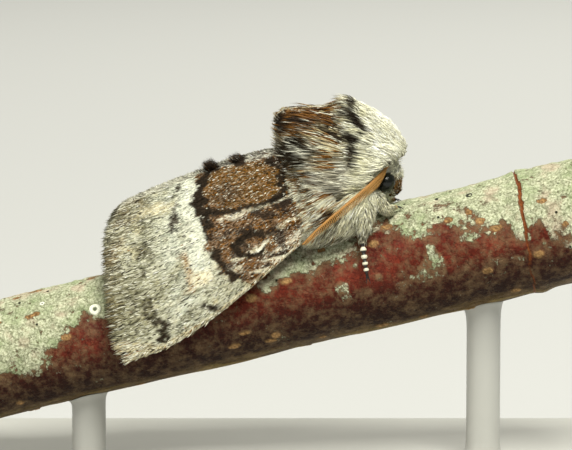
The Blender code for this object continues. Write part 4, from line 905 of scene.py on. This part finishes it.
def body_skin():
    """One closed skin over abdomen, thorax and head, under the coat: the three beds, drawn in by
    0.12 mm, melt into one surface on a fine voxel grid, so that no seam is left."""
    turn = np.linspace(0, 2 * math.pi, 64, endpoint=False)
    points, faces, start = [], [], 0
    for sections in (ABDOMEN_BED, THORAX_BED, HEAD_BED):
        x, around = np.meshgrid(np.linspace(sections[0, 0], sections[-1, 0], 60), turn, indexing="ij")
        place, normal = bed(sections, x, around)
        flat, quads = closed(place - normal * 0.12)
        points.append(flat)
        faces.append(quads + start)
        start += len(flat)
    rough = bpy.data.meshes.new("rough_skin")
    rough.from_pydata(np.vstack(points).tolist(), [], np.vstack(faces).tolist())
    holder = bpy.data.objects.new("rough_skin", rough)
    bpy.context.scene.collection.objects.link(holder)
    melt = holder.modifiers.new("melt", "REMESH")
    melt.mode, melt.voxel_size = "VOXEL", 0.13
    soften = holder.modifiers.new("soften", "SMOOTH")
    soften.iterations = 6
    melted = bpy.data.meshes.new_from_object(holder.evaluated_get(bpy.context.evaluated_depsgraph_get()))
    flat = np.empty(3 * len(melted.vertices), np.float32)
    melted.vertices.foreach_get("co", flat)
    flat = flat.reshape(-1, 3).astype(float)
    quads = np.empty(4 * len(melted.polygons), np.int32)
    melted.loops.foreach_get("vertex_index", quads)
    for spare in (rough, melted):
        bpy.data.meshes.remove(spare)
    spots = unrolled(flat[:, 0], np.arctan2(-flat[:, 1], flat[:, 2] - 5.2))
    # The skin takes the coat's markings darkened to 0.7: painted shade under the hair
    piece("body_skin", flat, quads.reshape(-1, 4), COAT_HAIR, "woolly_coat", ("thorax", "head", "abdomen"),
          coat_paint(flat).even() * 0.7, spots)


def coat():
    """The body's coat: long overlapping tufts that run back from the feelers' roots."""
    draw = np.random.default_rng(81)
    count = 27000
    x = np.where(draw.random(count) < 0.035, draw.uniform(7.55, 7.84, count), draw.uniform(1.95, 7.7, count))
    around = draw.uniform(-2.35, 2.35, count)
    roots, normal = bed(THORAX_BED, x, around)
    roots = roots - normal * draw.uniform(0.0, 0.25, count)[:, None]
    under_wing = (x < 3.4) & (np.abs(around) > 1.0) & (roots[:, 2] < 6.4)
    by_eye = (x > 6.1) & (roots[:, 2] < 5.45) & (np.abs(roots[:, 1]) > 0.45)
    keep = ~(under_wing | by_eye | (roots[:, 2] < 3.95))
    roots, normal, x, around = roots[keep], normal[keep], x[keep], around[keep]
    count = len(roots)
    top = np.clip(np.cos(around), 0, 1)
    front, rear = fade(x, 5.6, 7.0), fade(x, 3.6, 2.4)
    swirl = 0.9 * (by_cell(roots, 0.35, draw) - 0.5) + draw.normal(0, 0.14, (count, 3))
    flow = unit(roots - LIE_FOCUS + swirl)
    flow = unit(flow * (1 - rear * top)[:, None] + (rear * top)[:, None] * np.array((-1.0, 0.0, 0.22)))
    tuft = fade(x, 5.2, 5.6) * fade(x, 6.4, 6.0) * top
    lift = np.radians(16 + 26 * front - 6 * rear * top + 14 * tuft + draw.normal(0, 9, count))
    over_wing = fade(x, 4.8, 3.8) * (1 - top)
    length = (1.25 - 0.3 * front - 0.35 * rear + 0.5 * over_wing) * draw.uniform(0.6, 1.25, count)
    points, faces, tint, spots = tufts(
        roots, flow, normal, length, 0.08, lift, coat_paint, unrolled(roots[:, 0], around), draw, 0.45,
        rings=(0.0, 0.35, 0.7), banded=True, clump=0.25, root_shade=0.45 + 0.3 * fade(x, 4.2, 5.0),
        curl=0.42 * fade(x, 4.3, 5.3))
    # Pieces of whole blades, each under 190,000 triangles
    each, tris = len(points) // count, len(faces) // count
    for k, share in enumerate(np.array_split(np.arange(count), math.ceil(len(faces) / 190000))):
        first, own = share[0] * each, slice(share[0] * each, (share[-1] + 1) * each)
        piece(f"thorax_coat_{k + 1}", points[own], faces[share[0] * tris : (share[-1] + 1) * tris] - first,
              COAT_HAIR, "woolly_coat", ("thorax",), tint[own], spots[own])


def shoulder_paint(points):
    """Hair over the forewings' roots: cream with rusty strokes below, grey-brown above."""
    places = side_view(points)
    strand = cloud(points * np.array([0.4, 1.0, 1.3]), 0.24, 24)
    paint = coat_paint(points)
    low = fade(places[:, 1] - 0.35 * places[:, 0], 5.6, 4.9)
    paint.lay(low, "#cfc9ab", 0.1, 0.42, 0.12)
    paint.lay(low * fade(strand, 0.54, 0.68) * 0.85, "#7a5426", 0.25, 0.12, 0.3)
    line = ((-0.6, 6.9), (0.2, 6.2), (0.75, 5.75), (1.3, 5.2))
    paint.lay(by_line(places, line, 0.55, 0.3) * 0.85, "#3b2d1c", 0.5, 0.12, 0.15)
    return paint


def shoulder_hair():
    """Long hair that grows on the forewings' roots and runs back over them, hiding their front edge."""
    draw = np.random.default_rng(85)
    count = 4800
    p, q = 0.25 * draw.random(count) ** 1.4, draw.uniform(0.12, 1.0, count)
    roots, normal, along, across = forewing(p, q, 0.12 * (1 - p / 0.25) * draw.random(count))
    roots = roots - along * (0.25 * draw.random(count) * (p < 0.05))[:, None]
    swing = draw.normal(0, 0.16, (count, 1)) + 0.12
    flow = along * np.cos(swing) + across * np.sin(swing)
    length = (1.3 - 2.4 * p) * draw.uniform(0.6, 1.15, count)
    lift = np.radians(12 + draw.normal(0, 3, count))
    made = tufts(roots, flow, normal, length, 0.07, lift, shoulder_paint,
                 laid_flat(roots[:, 0], 0.02 + 0.45 * q), draw, 0.8, rings=(0.0, 0.4, 0.75), banded=True,
                 clump=0.15, root_shade=0.45)
    for side, turned in SIDES.items():
        piece(f"shoulder_hair_{side}", made[0] * turned, made[1], COAT_HAIR, "woolly_coat",
              (f"forewing_{side}",), *made[2:])


def head_coat():
    """Short fur of the face and the pale tuft between the feelers."""
    draw = np.random.default_rng(91)
    count = 5200
    x, around = draw.uniform(5.9, 7.3, count), draw.uniform(-math.pi, math.pi, count)
    roots, normal = bed(HEAD_BED, x, around)
    folded = np.column_stack([roots[:, 0], -np.abs(roots[:, 1]), roots[:, 2]])
    away = np.linalg.norm(folded - EYE_CENTRE, axis=1)
    keep = away > EYE_RADIUS + 0.06
    roots, normal, around = roots[keep], normal[keep], around[keep]
    count = len(roots)
    flow = unit(roots - np.array((6.4, 0, 4.6)) + draw.normal(0, 0.2, (count, 3)))
    length = (0.36 + 0.6 * fade(roots[:, 2], 4.7, 5.4)) * draw.uniform(0.7, 1.2, count)
    lift = np.radians(np.where(roots[:, 2] > 5.2, 48, 26) + draw.normal(0, 7, count))
    points, faces, *shown = tufts(roots, flow, normal, length, 0.055, lift, coat_paint,
                                  unrolled(roots[:, 0], around), draw, 0.4)
    piece("head_coat", points, faces, COAT_HAIR, "woolly_coat", ("head",), *shown)


def side_wool():
    """The wool that hangs from the middle legs' thighs back under the wing, on a pad of its own."""
    flat, faces = closed(limb(WOOL_PAD, np.linspace(0, 1, 40), 32, 0.42)[0])
    draw = np.random.default_rng(101)
    count = 6500
    t, around = draw.random(count) ** 0.9, draw.uniform(0, 2 * math.pi, count)
    grid, out, along = limb(WOOL_PAD, np.linspace(0, 1, 60), 48, 0.42)
    i, j = (t * 59).astype(int), (around / (2 * math.pi) * 48).astype(int) % 48
    roots, out, along = grid[i, j], out[i, j], along[i, j]
    roots = roots + draw.normal(0, 0.05, (count, 3))
    flow = unit(along + np.array((0.0, -0.05, -0.75)) + draw.normal(0, 0.14, (count, 3)))
    length = (1.15 - 0.3 * t) * draw.uniform(0.7, 1.15, count)
    lift = np.radians(10 + draw.normal(0, 5, count))
    made = tufts(roots, flow, out, length, 0.06, lift, coat_paint, laid_flat(roots[:, 0], around / 7), draw,
                 0.4, rings=(0.0, 0.4, 0.75), clump=0.12, root_shade=0.72)
    for side, turned in SIDES.items():
        piece(f"side_wool_{side}", made[0] * turned, made[1], COAT_HAIR, "woolly_coat",
              (f"midleg_{side}",), *made[2:])
        # The pad takes the coat's markings darkened to 0.7: painted shade under the wool
        piece(f"side_wool_{side}_bed", flat * turned, faces, COAT_HAIR, "woolly_coat", (f"midleg_{side}",),
              coat_paint(flat).even() * 0.7, laid_flat(flat[:, 0], flat[:, 2] / 30 + 0.3))


def legs():
    """Legs with beaded, ringed feet and two small claws, and short wool on the thighs.

    A foot starts at its own share of the leg's length and has FOOT_BEADS beads, by the sine of the
    share along it, with a pale and a dark ring on each.
    """
    draw = np.random.default_rng(111)
    where, bend = np.linspace(0, 1, 121), np.linspace(0, 1, 9)
    for name, stations, foot_from, count, hang, pale, dark in (
        # The foreleg's rings are duller and browner than the other legs': partly their own colour, partly
        # painted shade
        ("foreleg", FORE_LEG, 0.62, 1500, 0.5, "#b7a67c", "#5e4222"),
        ("midleg", MID_LEG, 0.68, 2600, 1.0, "#dcd6bf", "#1d1713"),
        ("hindleg", HIND_LEG, 0.6, 700, 0.0, "#dcd6bf", "#1d1713"),
    ):
        points, normal, run = limb(stations, where, LEG_SIDES)
        foot = np.clip((where - foot_from) / (1 - foot_from), 0, 1)
        beads = foot * 2 * math.pi * FOOT_BEADS
        swell = 1 + np.where(where > foot_from, 0.3 * np.sin(beads - 0.1 * math.pi), 0)
        centre = points.mean(axis=1, keepdims=True)
        points = centre + (points - centre) * swell[:, None, None]
        rings = np.sin(beads + 0.5 * np.sin(9 * foot))[:, None]
        tint = np.where(rings > 0.25, linear(pale), linear(dark))
        tint = np.where((foot > 0.02)[:, None], tint, linear("#c9bd9d"))
        tint = np.repeat(np.vstack([tint[:1], tint, tint[-1:]]), LEG_SIDES, axis=0)
        flat, faces = closed(points)
        tip, ahead = points[-1].mean(axis=0), run[-1, 0]
        across = unit(np.cross(ahead, (0, 0, 1.0)))
        claw_points, claw_faces = [], []
        for lean in (-0.35, 0.35):
            path = tip + ahead * (0.3 * bend)[:, None] + across * (lean * 0.35 * bend)[:, None]
            path = path - np.array((0, 0, 0.22)) * (bend**2)[:, None]
            claw = closed(limb(np.column_stack([path, 0.06 * (1 - 0.85 * bend)]), bend, 8)[0])
            claw_faces.append(claw[1] + len(claw_points) * len(claw[0]))
            claw_points.append(claw[0])
        claw_points, claw_faces = np.vstack(claw_points), np.vstack(claw_faces)
        t = draw.random(count) * foot_from
        i, j = (t * (len(where) - 1)).astype(int), draw.integers(0, LEG_SIDES, count)
        flow = run[i, j] + draw.normal(0, 0.2, (count, 3)) + hang * np.array((-0.25, 0.0, -0.8))
        length = draw.uniform(0.2, 0.4, count) * (1 + 1.3 * hang * fade(t, 0.66, 0.4))
        wool = tufts(points[i, j], unit(flow), normal[i, j], length, 0.05, np.radians(22), coat_paint,
                     laid_flat(points[i, j][:, 0], j / 40), draw, 0.6)
        for side, turned in SIDES.items():
            node = f"{name}_{side}"
            piece(f"{node}_limb", flat * turned, faces, CLAW, "woolly_coat", (node,), tint,
                  laid_flat(flat[:, 0], flat[:, 2] / 30 + 0.3))
            piece(f"{node}_claws", claw_points * turned, claw_faces, CLAW, "dark_scales", (node,),
                  np.tile(linear("#17120f"), (len(claw_points), 1)))
            piece(f"{node}_wool", wool[0] * turned, wool[1], COAT_HAIR, "woolly_coat", (node,), *wool[2:])


def feelers():
    """Feelers: a tapering amber shaft with close side branches that hang and curve like a comb.

    A branch goes straight out from the shaft, and forward by the square of its length's share.
    """
    where = np.linspace(0, 1, 90)
    radius = np.interp(where, (0, 0.04, 0.1, 0.75, 1), (0.13, 0.13, 0.085, 0.07, 0.035))
    points = limb(np.column_stack([smooth_path(ANTENNA, where), radius]), where, 14)[0]
    rings = 1 + 0.05 * np.sin(where * 2 * math.pi * 60)
    centre = points.mean(axis=1, keepdims=True)
    flat, faces = closed(centre + (points - centre) * rings[:, None, None])
    tint = np.tile(linear("#9c7038"), (len(flat), 1)) * (0.85 + 0.3 * cloud(flat, 0.2, 121))[:, None]
    t = np.linspace(0.05, 0.98, BRANCHES)
    path = smooth_path(ANTENNA, t)
    along = unit(np.gradient(path, axis=0))
    aside = unit(np.cross(along, (0, 0, 1.0)))
    hang = np.cross(along, aside)
    hang = hang * -np.sign(hang[:, 2:3])
    reach = (0.43 - 0.13 * t) * np.sin(math.pi * np.clip(1.06 - t, 0, 0.5)) ** 0.6
    reach = (reach * np.clip((t - 0.05) * 4.5, 0.15, 1))[:, None]
    bend = np.linspace(0, 1, 6)
    turn = np.linspace(0, 2 * math.pi, 5, endpoint=False)[:, None]
    round_branch = along[:, None, None] * np.cos(turn) + aside[:, None, None] * np.sin(turn)
    branches = []
    for lean in (0.35, -0.35):
        ways = unit(hang + aside * lean)
        stem = path[:, None] + ways[:, None] * (reach * bend)[..., None] \
            + along[:, None] * (0.3 * reach * bend**2)[..., None] + aside[:, None] * (np.sign(lean) * 0.05)
        thick = 0.03 * (1 - 0.4 * bend)[:, None, None]
        branches += [closed(branch) for branch in stem[:, :, None] + round_branch * thick]
    comb = np.vstack([body for body, quads in branches])
    comb_faces = np.vstack([quads + k * len(body) for k, (body, quads) in enumerate(branches)])
    # The branches that lean towards the body take the dark brown and the outer ones the light amber: the dark
    # half is painted shade, which on the right feeler falls on the side away from the camera
    comb_tint = np.repeat([linear("#4c3214"), linear("#ab7f44")], len(comb) // 2, axis=0)
    comb_tint = comb_tint * (0.8 + 0.4 * cloud(comb, 0.3, 122))[:, None]
    for side, turned in SIDES.items():
        piece(f"antenna_{side}_shaft", flat * turned, faces, FEELER, "antenna_comb",
              (f"antenna_{side}",), tint)
        piece(f"antenna_{side}_comb", comb * turned, comb_faces, FEELER, "antenna_comb",
              (f"antenna_{side}",), comb_tint)


def eyes_and_palps():
    """Round eyes with a fine cornea, and the palps' dark brushes with orange-brown tips."""
    cornea = eye_finish()
    rows, columns = 50, 72
    polar, around = np.meshgrid(np.linspace(0, math.pi, rows),
                                np.linspace(0, 2 * math.pi, columns, endpoint=False), indexing="ij")
    ball = np.stack([np.sin(polar) * np.cos(around), np.sin(polar) * np.sin(around), np.cos(polar)], axis=-1)
    points = (EYE_CENTRE + EYE_RADIUS * ball).reshape(-1, 3)
    faces = grid_faces(rows, columns, wrap=True)
    draw = np.random.default_rng(131)
    count, sides = 900, 16
    stub, normal, run = limb(PALP, np.linspace(0, 1, 30), sides)
    flat, quads = closed(stub)
    i, j = draw.integers(2, len(stub), count), draw.integers(0, sides, count)
    flow = run[i, j] + draw.normal(0, 0.15, (count, 3))
    hair = tufts(stub[i, j], flow, normal[i, j], draw.uniform(0.18, 0.34, count), 0.05, np.radians(22),
                 palp_paint, np.stack([i / 60, j / 40], axis=1), draw, 0.4)
    for side, turned in SIDES.items():
        piece(f"eye_{side}_cornea", points * turned, faces, cornea, "eye", (f"eye_{side}",))
        piece(f"palp_{side}_stub", flat * turned, quads, COAT_HAIR, "dark_scales", (f"palp_{side}",),
              palp_paint(flat).even(), laid_flat(flat[:, 0], flat[:, 2] / 30))
        piece(f"palp_{side}_brush", hair[0] * turned, hair[1], COAT_HAIR, "dark_scales",
              (f"palp_{side}",), *hair[2:])


def palp_paint(points):
    """Dark brown palps that end in an orange-brown tip."""
    paint = Paint(len(points), "#3a2a12", 0.4, 0.08, 0.06)
    paint.lay(fade(points[:, 0], 7.1, 7.35), "#6b4c22", 0.25, 0.12)
    return paint


def hindwings():
    """Hindwings folded under the forewings: plain pale brown membranes with a soft scale grain.

    They lie 0.9 to 1.2 mm inside the forewing's face, over the middle of its length and width.
    """
    p, q = np.meshgrid(np.linspace(0, 1, 60), np.linspace(0, 1, 60), indexing="ij")
    over_p, over_q = 0.36 + 0.55 * p - 0.06 * (2 * q - 1) ** 2 * p, 0.41 + 0.2 * q
    outer = forewing(over_p, over_q, np.full(p.shape, -0.9))[0]
    inner = forewing(over_p, over_q, np.full(p.shape, -1.2))[0]
    points, faces = closed(np.concatenate([outer, inner[:, ::-1]], axis=1))
    tint = linear("#a3967f") * (0.8 + 0.4 * cloud(points, 0.4, 141))[:, None]
    for side, turned in SIDES.items():
        piece(f"hindwing_{side}_skin", points * turned, faces, WING_SCALES, "wing_scales",
              (f"hindwing_{side}",), tint)


def abdomen_coat():
    """Short soft fur of the abdomen, seen from behind and below under the roof of the wings."""
    draw = np.random.default_rng(151)
    count = 6000
    x, around = draw.uniform(-5.45, 1.6, count), draw.uniform(-math.pi, math.pi, count)
    roots, normal = bed(ABDOMEN_BED, x, around)
    flow = np.tile((-1.0, 0, 0), (count, 1)) + draw.normal(0, 0.15, (count, 3))
    length = draw.uniform(0.4, 0.7, count)
    points, faces, *shown = tufts(roots, flow, normal, length, 0.07, np.radians(14), coat_paint,
                                  unrolled(roots[:, 0], around), draw, 0.5)
    piece("abdomen_coat", points, faces, COAT_HAIR, "woolly_coat", ("abdomen",), *shown)


def studio():
    """A pale floor and backdrop, soft light from above, in front and behind, and the camera."""
    mesh = bpy.data.meshes.new("floor")
    mesh.from_pydata([(-0.9, -0.9, 0), (0.9, -0.9, 0), (0.9, 0.9, 0), (-0.9, 0.9, 0)], [], [(0, 1, 2, 3)])
    floor = bpy.data.objects.new("floor", mesh)
    bpy.context.scene.collection.objects.link(floor)
    # Matt paper: even, pale, no gloss
    mesh.materials.append(finish("matt_pale_paper", "#b4b5b6", 0.9)[0])
    world = bpy.data.worlds.new("studio")
    world.use_nodes = True
    world.node_tree.nodes["Background"].inputs["Color"].default_value = (*linear("#e2e0ce"), 1)
    world.node_tree.nodes["Background"].inputs["Strength"].default_value = 0.34
    bpy.context.scene.world = world
    bpy.context.scene.view_settings.view_transform = "Standard"
    for name, place, size, power in (
        ("key", (0.06, -0.22, 0.37), 0.2, 2.8), ("fill", (-0.30, -0.25, 0.14), 0.3, 0.4),
        ("rim", (0.08, 0.30, 0.28), 0.2, 1.0),
    ):
        light = bpy.data.lights.new(name, "AREA")
        light.energy, light.size = power, size
        light.color = (1.0, 0.985, 0.89)
        lamp = bpy.data.objects.new(name, light)
        lamp.location = place
        x, y, z = np.array((0.0, 0.0, 0.015)) - np.array(place)
        lamp.rotation_euler = (math.atan2(math.hypot(x, y), -z), 0, math.atan2(-x, y))
        bpy.context.scene.collection.objects.link(lamp)
    camera = bpy.data.objects.new("camera", bpy.data.cameras.new("camera"))
    distance, rise = 0.240, math.radians(8.0)
    camera.location = (0, -distance * math.cos(rise), 0.01503 + distance * math.sin(rise))
    camera.rotation_euler = (0.5 * math.pi - rise, 0, 0)
    camera.data.sensor_width = 36.0
    camera.data.lens = 36.0 * distance / 0.0303
    camera.data.clip_start = 0.01
    bpy.context.scene.collection.objects.link(camera)
    bpy.context.scene.camera = camera


studio()
stand()
twig()
cups()
hindwings()
forewings()
wing_fringes()
body_skin()
coat()
shoulder_hair()
head_coat()
abdomen_coat()
side_wool()
legs()
feelers()
eyes_and_palps()
